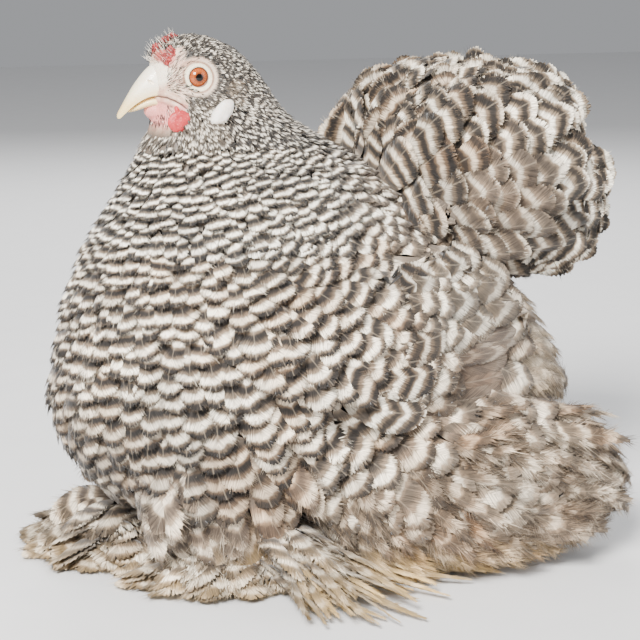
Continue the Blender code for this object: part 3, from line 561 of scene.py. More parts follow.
def stray_barbs(blade, number, each, length, frame_lines, half_width, camber, facts, rng, coarse=1.0):
    """Loose barbs round each feather's rim: thin closed spikes that go on forwards and outwards."""
    spine, tangent, side, up = frame_lines
    rows = np.arange(number)[:, None]
    along = 1.0 - 0.50 * rng.random((number, each)) ** 1.4
    hand = np.where(rng.random((number, each)) < 0.5, -1.0, 1.0)
    share = rng.uniform(0.15, 0.95, (number, each)) ** 0.6
    rim = np.interp(along, *blade.outline)
    across = hand * np.where(along > 0.86, share, 0.90) * rim
    base, ahead, sideways, upwards = between(rows, np.minimum(along, 0.97), spine, tangent, side, up)
    angle = np.radians(8.0 + 42.0 * np.abs(across)) + rng.normal(0.0, 0.12, along.shape)
    way = ahead * np.cos(angle)[..., None] + sideways * (hand * np.sin(angle))[..., None]
    way = unit(way + upwards * rng.uniform(-0.10, 0.10, along.shape)[..., None])
    width = half_width[:, None]
    root = base + sideways * (across * width)[..., None] - upwards * (camber * width * across**2)[..., None]
    run = length[:, None] * rng.uniform(0.35, 1.0, along.shape)
    root = root - way * (0.35 * run)[..., None]
    breadth = (0.00008 + 0.00008 * rng.random(along.shape)) * coarse
    thin = np.cross(way, upwards) * breadth[..., None]
    raised = upwards * (breadth * 0.9)[..., None]
    corners = np.stack([root + thin, root - thin, root + raised, root + way * run[..., None]], axis=2)
    faces = np.array([(0, 1, 3), (1, 2, 3), (2, 0, 3), (0, 2, 1)], np.int32)
    begun = bar_phase(facts, along, across)
    ended = begun + rng.normal(0.10, 0.12, along.shape)
    phase = np.stack([begun, begun, begun, ended], -1)
    chance = np.broadcast_to(facts["chance"][:, None, None], phase.shape)
    u = 0.5 + 0.5 * across
    v = np.clip(along, 0.0, 1.0)
    place = np.broadcast_to(np.stack([u, v], -1)[:, :, None, :], (*phase.shape, 2))
    dim = np.broadcast_to(rng.uniform(0.30, 1.30, along.shape)[..., None], phase.shape)
    return corners, faces, np.stack([chance, phase], -1), place, dim


def above_floor(points):
    """Points near or under the floor are laid down on it, in the order of their heights."""
    z = points[..., 2]
    resting = FLOOR_NAP * np.exp((np.minimum(z, FLOOR_NAP) - FLOOR_NAP) / FLOOR_NAP)
    return np.concatenate([points[..., :2], np.where(z < FLOOR_NAP, resting, z)[..., None]], -1)


def feathers(name, blade, spine, normal, half_width, facts, rng, thickness=0.00022, camber=0.22, roll=0.12,
             barbs=36, barb_length=0.0036, coarse=1.0):
    """Feathers along spines. spine and normal: (feather, station, 3). facts gives, by feather, where the bars
    stand at the root, how many the whole length has, how strong they are and how far they bend, tone, warmth,
    stain and the place on the unwrap."""
    number = len(spine)
    tangent = unit(np.gradient(spine, axis=1))
    side = unit(np.cross(normal, tangent))
    lean = rng.normal(0.0, roll, (number, 1, 1))
    side = unit(side + normal * lean)
    up = unit(np.cross(tangent, side))
    # A tooth reaches out along its barb and a notch cuts back along it, now and then deeply.
    chance = rng.random((number, blade.count))
    deep = np.where(blade.teeth > 0, 0.04 + 0.08 * chance, 0.04 + 0.40 * chance**4)
    barb = blade.teeth[None] * blade.raggedness * deep
    slender = (half_width / spine_lengths(spine))[:, None]
    along = blade.along[None] + barb * slender * (1.0 - 0.35 * np.abs(blade.across[None]))
    across = blade.across[None] + np.sign(blade.across[None]) * barb * 0.7 * np.abs(blade.across[None])
    rows = np.arange(number)[:, None]
    base, sideways, upwards = between(rows, along, spine, side, up)
    sideways, upwards = unit(sideways), unit(upwards)
    width = half_width[:, None]
    lift = blade.height[None] * thickness / 2.0 - camber * width * across**2
    points = base + sideways * (across * width)[..., None] + upwards * lift[..., None]
    patch = np.stack([0.5 + 0.5 * blade.across, np.clip(blade.along, 0.0, 1.0)], -1)
    size = facts.get("patch", PATCH)
    tone = np.stack([facts[key] for key in TONES], -1)
    reach = np.full(number, barb_length) * np.minimum(1.0, half_width / 0.004)
    corners, spike, barred, place, dim = stray_barbs(
        blade, number, barbs, reach, (spine, tangent, side, up), half_width, camber, facts, rng, coarse)
    tinted = np.broadcast_to(tone[:, None, None, :], (*dim.shape, 4)).copy()
    tinted[..., 0] = tinted[..., 0] * dim
    # The blades' values, then those of the loose barbs.
    whole = {
        "points": (3, points, corners),
        "OFBake": (2, facts["unwrap"][:, None, :] + (patch[None] - 0.5) * size,
                   facts["unwrap"][:, None, None, :] + (place - 0.5) * size),
        "Barring": (2, barring_map(facts, bar_phase(facts, along, across)), barred),
        "Blade": (2, np.broadcast_to(patch[None], (number, *patch.shape)), place),
        "tone": (4, np.broadcast_to(tone[:, None, :], (number, blade.count, 4)), tinted),
    }
    whole = {key: np.concatenate([blades.reshape(-1, wide), loose.reshape(-1, wide)])
             for key, (wide, blades, loose) in whole.items()}
    faces = np.concatenate([repeated(blade.faces, number, blade.count),
                            repeated(spike, number * barbs, 4, number * blade.count)])
    rim = np.ones(len(whole["points"]), bool)
    rim[:number * blade.count] = np.tile(np.arange(blade.count) >= blade.first_rim, number)
    maps = {key: whole[key] for key in ("OFBake", "Barring", "Blade")}
    return mesh_piece(name, above_floor(whole["points"]), faces, rim, maps, whole["tone"])


def fill_square(values):
    """The places on an unwrap, spread over the square with a small margin."""
    low, high = values.min(0), values.max(0)
    return 0.01 + 0.98 * (values - low) / np.maximum(high - low, 1e-9)


def round_axis(points, centre):
    """An unwrap round the upright axis through a centre: angle and height."""
    away = points - np.array(centre)
    return fill_square(np.stack([np.arctan2(away[:, 1], away[:, 0]), away[:, 2]], -1))


# Where the coat grows.

class Carrier:
    """The smooth form of some nodes, that feathers lie on."""

    def __init__(self, nodes, voxel, rounds):
        form = copied_nodes("form", nodes)
        smoothed_form(form, voxel, rounds)
        mesh = form.data
        mesh.calc_loop_triangles()
        self.points = np.zeros(len(mesh.vertices) * 3)
        mesh.vertices.foreach_get("co", self.points)
        self.points = self.points.reshape(-1, 3)
        normals = np.zeros(len(mesh.vertices) * 3)
        mesh.vertices.foreach_get("normal", normals)
        self.faces = np.zeros(len(mesh.loop_triangles) * 3, np.int32)
        mesh.loop_triangles.foreach_get("vertices", self.faces)
        self.faces = self.faces.reshape(-1, 3)
        self.normals = unit(normals.reshape(-1, 3)[self.faces].mean(1))
        self.tree = BVHTree.FromPolygons(self.points.tolist(), self.faces.tolist(), all_triangles=True)
        bpy.data.objects.remove(form)

    def nearest(self, points):
        found = np.empty_like(points)
        normals = np.empty_like(points)
        for i, point in enumerate(points):
            place, _, index, _ = self.tree.find_nearest(Vector(point))
            found[i] = place
            normals[i] = self.normals[index]
        return found, normals

    def scattered(self, amount, rng):
        """Random points on the form, evenly by area, in the hen's own measures."""
        a, b, c = np.swapaxes(self.points[self.faces], 0, 1)
        areas = np.linalg.norm(np.cross(b - a, c - a), axis=1)
        chosen = rng.choice(len(areas), amount, p=areas / areas.sum())
        first, second = rng.random(amount), rng.random(amount)
        over = first + second > 1.0
        first[over], second[over] = 1.0 - first[over], 1.0 - second[over]
        a, b, c = a[chosen], b[chosen], c[chosen]
        return a + (b - a) * first[:, None] + (c - a) * second[:, None] - SHIFT

    def walk(self, roots, flow, lengths, stations, aside, bend=0.64):
        """Spines that follow the flow over the form from the roots, each turned aside by its own angle, and
        which of them bend no more than a feather can."""
        spine = np.empty((len(roots), stations + 1, 3))
        normals = np.empty_like(spine)
        place, normal = self.nearest(roots + SHIFT)
        step = (lengths / stations)[:, None]
        for i in range(stations + 1):
            spine[:, i], normals[:, i] = place, normal
            ahead = flow(place - SHIFT)
            ahead = unit(ahead - normal * (ahead * normal).sum(-1, keepdims=True))
            ahead = ahead * np.cos(aside)[:, None] + np.cross(normal, ahead) * np.sin(aside)[:, None]
            place, normal = self.nearest(place + ahead * step)
        turn = (normals[:, 1:] * normals[:, :-1]).sum(-1).min(1)
        flat = (turn > bend) & ((normals[:, 0] * normals[:, -1]).sum(-1) > -0.2)
        return spine, normals, flat


def spaced(points, radius):
    """Indices of points that keep their own radius from those taken before."""
    cell = 0.003
    taken = {}
    kept = []
    cells = np.floor(points / cell).astype(int).tolist()
    reach = np.ceil(radius / cell).astype(int).tolist()
    for i, (point, home, far, near) in enumerate(zip(points.tolist(), cells, reach, radius.tolist())):
        around = itertools.product(*(range(at - far, at + far + 1) for at in home))
        others = itertools.chain.from_iterable(taken.get(spot, ()) for spot in around)
        if all(math.dist(point, other) >= near for other in others):
            kept.append(i)
            taken.setdefault(tuple(home), []).append(point)
    return np.array(kept)


def coat_value(z, column):
    return np.interp(z, COAT[:, 0], COAT[:, column])


HEIGHTS = np.linspace(0.0, 0.24, 481)
ROWS_BELOW = np.concatenate([[0.0], np.cumsum(np.diff(HEIGHTS) / coat_value(HEIGHTS[1:], 3))])


def coat_share(points):
    """The feathers' size against the table's: smaller on the breast, larger on the flank."""
    x = points[:, 0]
    return 1.0 - 0.18 * smooth_step(-0.050, -0.100, x) + 0.12 * smooth_step(-0.030, 0.010, x)


def trunk_tone(points):
    """The coat is darkest low on the breast and behind the neck."""
    nape = smooth_step(0.150, 0.175, points[:, 2]) * smooth_step(-0.060, -0.030, points[:, 0])
    return 0.54 - 0.52 * low_breast(points) - 0.10 * nape


def low_breast(points):
    """1 low on the breast, 0 away from it."""
    return smooth_step(0.120, 0.060, points[:, 2]) * smooth_step(-0.030, -0.080, points[:, 0])


def row_count(points):
    """Rows of feathers counted down and back over the coat."""
    x, y, z = points.T
    back = 0.95 * smooth_step(-0.09, 0.03, x) * np.clip(x + 0.09, 0.0, None) / coat_value(z, 3)
    sway = 0.30 * np.sin(y * 95.0 + z * 40.0) + 0.22 * np.sin(y * 210.0 - z * 90.0 + x * 120.0)
    return back - np.interp(z, HEIGHTS, ROWS_BELOW) + sway


def in_rows(points, looseness):
    """Which points lie near a row."""
    count = row_count(points)
    return np.abs(count - np.round(count)) < looseness


def inside(points, side, centre, size):
    """Distance from the middle of a rounded form on one side, 1 at its surface."""
    away = (points - np.array((centre[0], centre[1] * SIDES[side], centre[2]))) / np.array(size)
    return np.linalg.norm(away, axis=1)


def leg_share(points, centre, size):
    """The same for the nearer of the two sides' forms."""
    return np.minimum(inside(points, "left", centre, size), inside(points, "right", centre, size))


def coat_flow(points):
    """The way the feathers of head, neck and trunk point."""
    x, y, z = points[:, 0:1], points[:, 1:2], points[:, 2:3]
    from_bill = points - np.array(BILL_ROOT)
    far = np.linalg.norm(from_bill, axis=1, keepdims=True)
    head = unit(from_bill) + np.array([0.20, 0.0, -0.55]) * smooth_step(0.010, 0.034, far)
    neck = np.concatenate([0.22 + 0 * x, 0 * y, -1.0 + 0 * z], axis=1)
    swing = smooth_step(-0.085, 0.035, x)
    body = np.concatenate([0.12 + 0.95 * swing, 0 * y, -1.0 + 0.55 * swing], axis=1)
    low = 1.0 - smooth_step(0.130, 0.170, z)
    high = smooth_step(0.184, 0.200, z)
    return unit(high * unit(head) + (1.0 - high) * (low * body + (1.0 - low) * neck))


def leg_flow(centre, size, back, down):
    """The way feathers point on a thigh or shank: away from its upper front."""
    def flow(points):
        sign = np.where(points[:, 1:2] < 0, -1.0, 1.0)
        top = np.array([centre[0] - back * size[0], centre[1], centre[2] + size[2]])
        away = points - top * np.concatenate([1 + 0 * sign, sign, 1 + 0 * sign], axis=1)
        return unit(unit(away) + np.array([0.25, 0.0, -down]))
    return flow


def fact_sheet(number, rng, bars, phase, unwrap, tone=0.5, warm=0.3, stain=0.0, barred=1.0, bend=0.34):
    """What each feather's pattern is made of, with a chance and small differences of its own."""
    return {
        "barred": np.clip(barred + 0.0 * phase, 0.0, 1.0), "bend": np.full(number, bend),
        "phase": phase, "bars": bars, "chance": rng.random(number), "unwrap": unwrap,
        "tone": np.clip(tone + rng.normal(0.0, 0.07, number), 0.0, 1.0),
        "warm": np.clip(warm + rng.normal(0.0, 0.12, number), 0.0, 1.0),
        "stain": np.clip(stain + 0 * phase, 0.0, 1.0),
    }


def lifted(spine, normals, sunk, raised, power=1.3):
    """The spines, sunk at the root and raised at the tip."""
    share = np.linspace(0.0, 1.0, spine.shape[1])[None, :, None]
    return spine + normals * (-sunk[:, None, None] + (sunk + raised)[:, None, None] * share**power)


def build_trunk_coat(carrier, materials):
    """Hackle, breast, flank and vent, in loose rows over the carrier."""
    rng = np.random.default_rng(3)
    points = carrier.scattered(SCATTER, rng)
    x, y, z = points.T
    thigh = leg_share(points, THIGH_CENTRE, THIGH_SIZE) < 0.98
    shank = leg_share(points, SHANK_CENTRE, SHANK_SIZE) < 1.06
    under_tail = np.linalg.norm((points - np.array(TAIL_CENTRE)) / np.array(TAIL_REACH), axis=1) < 0.50
    (front, rear), (bottom, top) = WING_COVER
    on_wing = (z > bottom) & (z < top) & (x > front) & (x < rear)
    on_wing &= np.abs(y) > trunk_half(x, z) + 0.0015
    body = points[~(thigh | shank | under_tail | on_wing) & (z >= 0.020) & (z <= HEAD_FOOT)]
    body = body[in_rows(body, 0.13) | (body[:, 0] > 0.0) | (body[:, 2] < 0.045)]
    spacing = coat_value(body[:, 2], 3) * np.where(body[:, 2] > NECK_FOOT, 0.84, 0.92) * coat_share(body)
    body = body[spaced(body, spacing)]
    x, y, z = body.T
    trunk = z < NECK_FOOT
    vent = trunk & (x > 0.056 + 0.25 * np.abs(z - 0.080))
    broad = Blade(6, 36, 0.6)
    for name, own, blade, material, warm, hairs in (
        ("neck_hackle", ~trunk, Blade(4, 18, 0.8), "neck", 0.10, 26),
        ("breast_feathers", trunk & (x < -0.045), broad, "body", 0.30, 72),
        ("flank_feathers", trunk & (x >= -0.045) & ~vent, broad, "body", 0.45, 72),
        ("vent_fluff", vent, Blade(6, 30, 1.4, 0.3, 0.4, 0.3, 1.4), "fluff", 0.10, 110),
    ):
        fluffy = name == "vent_fluff"
        roots = body[own]
        lengths = coat_value(roots[:, 2], 1) * coat_share(roots) * rng.uniform(0.92, 1.18, len(roots))
        widths = coat_value(roots[:, 2], 2) * coat_share(roots) * rng.uniform(0.84, 1.12, len(roots))
        stray = rng.normal(0.0, 0.13, len(roots))
        spine, normal, flat = carrier.walk(roots, coat_flow, lengths, blade.segments, stray)
        spine, normal, roots, lengths, widths = (
            values[flat] for values in (spine, normal, roots, lengths, widths))
        number = len(roots)
        spine = lifted(spine, normal, lengths * 0.20, lengths * rng.uniform(0.05, 0.12, number), 0.9)
        aft = smooth_step(-0.025, 0.025, roots[:, 0])
        period = coat_value(roots[:, 2], 4) * coat_share(roots) * (1.0 + 0.35 * aft)
        bars = lengths / period * rng.uniform(0.88, 1.10, number)
        phase = TIP_PHASE - bars + rng.normal(0.0, 0.08, number)
        faded = smooth_step(0.075, 0.045, roots[:, 2])
        facts = fact_sheet(number, rng, bars, phase, round_axis(roots, (0.0, 0.0, 0.0)), trunk_tone(roots),
                           warm + 0.40 * low_breast(roots), barred=1.0 - 0.22 * aft - 0.25 * faded)
        if fluffy:
            widths = widths * 0.55
            facts["barred"] = rng.uniform(0.10, 0.50, number)
            facts["tone"] = rng.uniform(0.50, 0.74, number)
        piece = feathers(name, blade, spine, normal, widths, facts, rng, camber=0.42, barbs=hairs,
                         barb_length=0.0100 if fluffy else 0.0052, coarse=1.5 if fluffy else 1.0)
        finish_piece(piece, materials[material], "plumage")


def bristles(name, roots, ways, normals, lengths, breadths, facts):
    """Fine bent bristles: each a three-sided spike of two lengths that leans over along the skin."""
    number = len(roots)
    side = unit(np.cross(normals, ways))
    lean = unit(ways - normals * 0.35)
    knee = roots + ways * (lengths * 0.5)[:, None]
    end = knee + lean * (lengths * 0.5)[:, None]
    corners = []
    for centre, share in ((roots, 1.0), (knee, 0.7)):
        for turn in (90.0, 210.0, 330.0):
            out = side * math.cos(math.radians(turn)) + normals * math.sin(math.radians(turn))
            corners.append(centre + out * (breadths * share)[:, None])
    corners.append(end)
    points = np.stack(corners, axis=1)
    spike = [(0, 2, 1)]
    for k in range(3):
        after = (k + 1) % 3
        spike += [(k, after, 3 + after), (k, 3 + after, 3 + k), (3 + k, 3 + after, 6)]
    count = len(corners)
    faces = repeated(np.array(spike, np.int32), number, count)
    shares = np.array([0.4] * 3 + [0.7] * 3 + [1.0])
    phase = facts["phase"][:, None] + facts["bars"][:, None] * shares
    blade = np.stack([0.42 + 0.0 * phase, np.broadcast_to(shares, phase.shape)], -1)
    bake = facts["unwrap"][:, None, :] + (blade - 0.5) * PATCH
    maps = {"OFBake": bake, "Barring": barring_map(facts, phase), "Blade": blade}
    maps = {key: values.reshape(-1, 2) for key, values in maps.items()}
    tone = np.stack([facts[key] for key in TONES], -1)
    tones = np.broadcast_to(tone[:, None, :], (number, count, 4)).reshape(-1, 4)
    return mesh_piece(name, points.reshape(-1, 3), faces, np.zeros(number * count, bool), maps, tones)


def eye_distance(points):
    """Distance from the axis through both eyes."""
    return np.hypot(points[:, 0] - EYE[0], points[:, 2] - EYE[2])


def bare_face(points):
    """The front of the face and the ring round the eye, where only bristles grow."""
    x, _, z = points.T
    front = (x < -0.0650 - 0.25 * (0.2100 - z)) & (z < 0.2160 + 0.4 * (x + 0.0700)) & (z > 0.1905)
    return front | (eye_distance(points) < BARE_RING)


def on_bill(points):
    """Where bill or comb cover the face."""
    x, y, z = points.T
    horn = (x < -0.0695) & (z > 0.1955) & (z < 0.2165) & (np.abs(y) < 0.0090)
    comb = (np.hypot(x - COMB_PATCH[0], z - COMB_PATCH[2]) < 0.0034) & (np.abs(y) < 0.0036)
    for patch_x, patch_z, radius in COMB_SPREAD:
        comb |= np.hypot(x - patch_x, z - patch_z) < radius * 0.8
    return horn | comb


def build_head_coat(carrier, materials):
    """Small hair-like feathers from the bill back to the hackle, finest on the cheek."""
    rng = np.random.default_rng(5)
    points = carrier.scattered(SCATTER, rng)
    ear = np.hypot(points[:, 0] - LOBE["centre"][0], points[:, 2] - LOBE["centre"][1]) < 0.0024
    roots = points[(points[:, 2] > 0.186) & ~on_bill(points) & ~bare_face(points) & ~ear]
    cheek = (roots[:, 2] < 0.2040) & (roots[:, 0] < -0.0500)
    kept = spaced(roots, coat_value(roots[:, 2], 3) * np.where(cheek, CHEEK_SPACING, CROWN_SPACING))
    roots, cheek = roots[kept], cheek[kept]
    number = len(roots)
    near = smooth_step(0.0075, 0.016, eye_distance(roots))
    lengths = coat_value(roots[:, 2], 1) * (0.74 + 0.26 * near) * rng.uniform(0.85, 1.30, number)
    widths = coat_value(roots[:, 2], 2) * (0.36 + 0.10 * near) * rng.uniform(0.8, 1.1, number)
    widths = widths * np.where(cheek, 0.80, 1.0)
    blade = Blade(3, 5, 0.8, 0.4, 0.45, 0.3, 1.6)
    stray = rng.normal(0.0, 0.20, number)
    spine, normal, _ = carrier.walk(roots, coat_flow, lengths, blade.segments, stray)
    spine = lifted(spine, normal, lengths * 0.12, lengths * rng.uniform(0.03, 0.16, number))
    bars = lengths / coat_value(roots[:, 2], 4) / 1.5
    phase = TIP_PHASE - bars + rng.normal(0.0, 0.24, number)
    tuft = np.hypot(roots[:, 0] - EAR_TUFT[0], roots[:, 2] - EAR_TUFT[1]) < 0.0040
    facts = fact_sheet(number, rng, bars, phase, round_axis(roots, HEAD_AXIS), np.where(cheek, 0.44, 0.38),
                       np.where(tuft, 0.35, 0.10), barred=np.where(tuft, 0.60, np.where(cheek, 0.80, 1.0)))
    piece = feathers("head_feathers", blade, spine, normal, widths, facts, rng, 0.00016, barbs=4,
                     barb_length=0.0046)
    finish_piece(piece, materials["head"], "plumage")
    build_bristles(carrier, points, materials, rng)


def build_bristles(carrier, points, materials, rng):
    """Bristles of the bare face, thinnest round the eye, and a tuft that stands up round the comb."""
    inner, outer = BRISTLE_RING
    bare = (bare_face(points) | (eye_distance(points) < outer)) & (eye_distance(points) > inner)
    face = points[bare & ~on_bill(points) & (points[:, 2] > HEAD_FOOT)]
    face = face[spaced(face, np.where(eye_distance(face) < 0.0080, 0.0009, 0.00050))]
    crest_away = np.linalg.norm((points - np.array(COMB_PATCH)) / (1.0, 1.2, 1.0), axis=1)
    crest = points[(crest_away < 0.0088) & (points[:, 2] > 0.2150)]
    crest = crest[spaced(crest, np.full(len(crest), 0.00075))]
    roots = np.concatenate([face, crest])
    number = len(roots)
    standing = np.arange(number) >= len(face)
    place, normals = carrier.nearest(roots + SHIFT)
    flow = coat_flow(roots)
    lying = unit(flow - normals * (flow * normals).sum(-1, keepdims=True) + normals * 0.30)
    upright = unit(normals + np.array((-0.35, 0.0, 0.75)) + rng.normal(0.0, 0.22, (number, 3)))
    ways = unit(np.where(standing[:, None], upright, lying) + rng.normal(0.0, 0.10, (number, 3)))
    lengths = np.where(standing, rng.uniform(0.0030, 0.0058, number), rng.uniform(0.0020, 0.0036, number))
    breadths = np.where(standing, rng.uniform(0.00010, 0.00020, number),
                        rng.uniform(0.00013, 0.00021, number))
    dark = rng.random(number) < np.where(standing, 0.62, 0.85)
    facts = fact_sheet(number, rng, np.full(number, 0.10), np.where(dark, 0.42, 0.92),
                       round_axis(roots, HEAD_AXIS), np.where(dark, 0.20, 0.60), 0.10)
    piece = bristles("face_bristles", place - normals * 0.0003, ways, normals, lengths, breadths, facts)
    finish_piece(piece, materials["head"], "plumage")


def build_leg_coat(carrier, materials):
    """Loose fluffy feathers of the thighs and broader ones of the shanks, in clumps that lean together."""
    rng = np.random.default_rng(9)
    points = carrier.scattered(LEG_SCATTER, rng)
    for label, centre, size, back, down in (("thigh", THIGH_CENTRE, THIGH_SIZE, 0.9, 0.25),
                                            ("shank", SHANK_CENTRE, SHANK_SIZE, 0.1, 0.8)):
        loose = label == "thigh"
        blade = Blade(7, 26, 1.3, 0.3, 0.40, 0.2, 1.25) if loose else Blade(7, 30, 0.7, 0.4, 0.60, 0.3, 2.0)
        least_width = 0.0038 if loose else 0.0054
        hairs = {"roll": 0.40, "barbs": 84, "barb_length": 0.0130, "coarse": 1.6}
        if not loose:
            hairs = {"roll": 0.24, "barbs": 70, "barb_length": 0.0100, "coarse": 1.2}
        for side in SIDES:
            own = (inside(points, side, centre, size) < 1.12) & (points[:, 1] * SIDES[side] > 0.0)
            own &= points[:, 2] > 0.004
            if loose:
                own &= leg_share(points, SHANK_CENTRE, SHANK_SIZE) > 1.0
            roots = points[own]
            roots = roots[spaced(roots, np.full(len(roots), LEG_SPACING))]
            number = len(roots)
            lengths = rng.uniform(0.030, 0.052, number) * (1.0 if loose else 0.72)
            lengths = np.minimum(lengths, 0.012 + roots[:, 2] * 0.95)
            widths = rng.uniform(least_width, 0.0078, number)
            clump = np.sin(roots @ np.array((140.0, 90.0, -110.0)))
            clump = clump + np.sin(roots @ np.array((-60.0, 170.0, 150.0)) + 1.0)
            stray = 0.22 * clump + rng.normal(0.0, 0.16, number)
            flow = leg_flow(centre, size, back, down)
            spine, normal, flat = carrier.walk(roots, flow, lengths, blade.segments, stray, 0.45)
            spine, normal, roots, lengths, widths, clump = (
                values[flat] for values in (spine, normal, roots, lengths, widths, clump))
            number = len(roots)
            raised = lengths * np.clip(0.10 + 0.07 * clump + rng.uniform(-0.05, 0.12, number), 0.02, 0.30)
            spine = lifted(spine, normal, lengths * 0.14, raised)
            bars = lengths / rng.uniform(0.0090, 0.0130, number)
            phase = TIP_PHASE - bars + rng.normal(0.0, 0.30, number)
            unwrap = round_axis(roots, (centre[0], centre[1] * SIDES[side], 0.0))
            facts = fact_sheet(number, rng, bars, phase, unwrap, 0.40 + 0.17 * clump, 0.60,
                               0.55 * smooth_step(0.016, 0.003, spine[:, -1, 2]), 0.75)
            piece = feathers(f"{label}_feathers_{side}", blade, spine, normal, widths, facts, rng, camber=0.3,
                             **hairs)
            finish_piece(piece, materials["fluff" if loose else "foot"], "plumage")


# Tail, wings and footings.

def blunt_reach(direction):
    """How far the tail's rounded form reaches in a direction."""
    power = 2.0 * TAIL_BLUNTNESS
    return (np.abs(direction / np.array(TAIL_REACH)) ** power).sum(-1) ** (-1.0 / power)


# The tail's rim as seen from her left: heading from the tail's centre, degrees up from +X, and reach.
TAIL_RIM = np.array([
    (-100.0, 0.0400), (-75.0, 0.0480), (-55.0, 0.0560), (-42.0, 0.0680), (-28.0, 0.0780), (-18.0, 0.0790),
    (-8.0, 0.0770), (2.0, 0.0740), (9.0, 0.0680), (15.0, 0.0580), (22.0, 0.0650), (32.0, 0.0700),
    (45.0, 0.0670), (60.0, 0.0590), (75.0, 0.0560), (92.0, 0.0560), (108.0, 0.0590), (122.0, 0.0640),
    (138.0, 0.0705), (150.0, 0.0735), (162.0, 0.0710),
])
# The fan's layers from the middle out: share of the rim's reach, distance aside, degrees between feathers.
FAN_LAYERS = [(1.0, 0.0030, 11.0), (0.93, 0.0110, 11.5), (0.86, 0.0190, 12.0), (0.76, 0.0270, 13.0)]
FAN_WIDTH = 0.0112


def rim_reach(angle):
    return np.interp(angle, TAIL_RIM[:, 0], TAIL_RIM[:, 1])


def build_tail_coat(materials):
    """Coverts in tiers round the cushion tail, over a double fan of broad tail feathers that make its rim."""
    rng = np.random.default_rng(7)
    pole = unit(np.array(TAIL_POLE))
    level = np.array([0.0, 1.0, 0.0])
    third = np.cross(pole, level)
    tips, roots, outs = [], [], []
    for number, angle in enumerate(np.arange(34.0, 170.0, 12.0)):
        count = max(5, int(22 * math.sin(math.radians(angle))))
        for i in range(count):
            about = 2.0 * math.pi * (i + 0.5 * (number % 2)) / count + rng.uniform(-0.10, 0.10)
            polar = math.radians(angle + rng.uniform(-4.5, 4.5))
            turn = math.radians(min(34.0, 14.0 + 0.30 * angle))
            sideways = level * math.cos(about) + third * math.sin(about)
            tip = pole * math.cos(polar) + sideways * math.sin(polar)
            near_rim = 0.42 if angle > 95.0 or tip[2] < 0.1 else 0.20
            if abs(tip[1]) < near_rim or tip[0] < -0.72:
                continue
            start = max(polar - turn, 0.05)
            tips.append(tip)
            roots.append(pole * math.cos(start) + sideways * math.sin(start))
            outs.append(1.0 - rng.uniform(0.0, 0.09))
    tips, roots, outs = np.array(tips), np.array(roots), np.array(outs)
    blade = Blade(9, 44, 0.40, 0.5, 0.64, 0.35, 2.2)
    share = np.linspace(0.0, 1.0, blade.segments + 1)[None, :, None]
    way = unit(roots[:, None] * (1.0 - share) + tips[:, None] * share)
    outs = outs * (0.84 + 0.16 * smooth_step(0.42, 0.70, np.abs(tips[:, 1])))
    reach = blunt_reach(way)[..., None] * (0.76 + 0.24 * share**1.3) * outs[:, None, None]
    covert_spine = np.array(TAIL_CENTRE) + SHIFT + way * reach
    fan_spine, fan_normal = [], []
    for sign in SIDES.values():
        for layer, (inset, aside, step) in enumerate(FAN_LAYERS):
            for heading in np.arange(-96.0 + 4.0 * layer, 160.0, step):
                loose = smooth_step(70.0, 95.0, heading)
                angle = heading + rng.uniform(-2.0, 2.0) * (1.0 + 2.0 * loose) + (2.5 if sign > 0 else 0.0)
                out = rim_reach(angle) * inset * rng.uniform(0.94 - 0.06 * loose, 1.02)
                tip = np.array((math.cos(math.radians(angle)), 0.0, math.sin(math.radians(angle)))) * out
                root = np.array((-0.030, 0.0, -0.022)) * 0.8 + tip * 0.10
                line = root + (tip - root) * share[0]
                bow = np.array((-tip[2], 0.0, tip[0])) * 0.10 * (1.0 if angle < 60.0 else -1.0)
                line = line + bow * np.sin(math.pi * share[0])
                overlap = 0.0012 * (len(fan_spine) % 2)
                line[:, 1] = sign * (aside * (1.0 + 0.5 * (1.0 - share[0][:, 0])) + overlap)
                fan_spine.append(line + np.array(TAIL_CENTRE) + SHIFT)
                fan_normal.append(np.tile((0.12 * tip[0] / out, sign, 0.12 * tip[2] / out), (len(line), 1)))
    spine = np.concatenate([covert_spine, np.array(fan_spine)])
    normals = unit(np.concatenate([way, np.array(fan_normal)]))
    number = len(spine)
    covert = np.arange(number) < len(tips)
    ends = spine[:, -1] - SHIFT - np.array(TAIL_CENTRE)
    widths = np.concatenate([rng.uniform(0.0092, 0.0114, len(tips)), np.full(len(fan_spine), FAN_WIDTH)])
    bars = -spine_lengths(spine) / rng.uniform(0.0078, 0.0094, number)
    phase = 0.10 - bars + rng.normal(0.0, 1.0, number) * np.where(covert, 0.14, 0.26)
    aim = unit(ends)
    round_pole = np.arctan2(aim @ third, aim @ level)
    unwrap = fill_square(np.stack([round_pole, np.arccos(np.clip(aim @ pole, -1, 1))], -1))
    rearwards = smooth_step(-0.03, 0.05, ends[:, 0])
    middle = 1.0 - smooth_step(0.010, 0.038, np.hypot(ends[:, 0] - 0.006, ends[:, 2] + 0.006))
    facts = fact_sheet(number, rng, bars, phase, unwrap, 0.36 + 0.18 * rearwards, 0.45 - 0.25 * rearwards,
                       barred=1.0 - 0.45 * middle, bend=0.62)
    facts["patch"] = TAIL_PATCH
    piece = feathers("tail_coverts", blade, spine, normals, widths, facts, rng, THICK, 0.44, 0.12, 70, 0.0058)
    finish_piece(piece, materials["tail"], "plumage", "tail")


# How far the feathers over the tail's edge reach at a distance from its middle, as a share of the rim's
# reach, and the distances of their rows.
BACK_ASIDE = (0.0, 0.003, 0.011, 0.019, 0.027)
BACK_REACH = (0.96, 0.94, 0.88, 0.80, 0.70)
BACK_ROWS = (-0.0235, -0.0165, -0.0095, -0.0030, 0.0030, 0.0095, 0.0165, 0.0235)


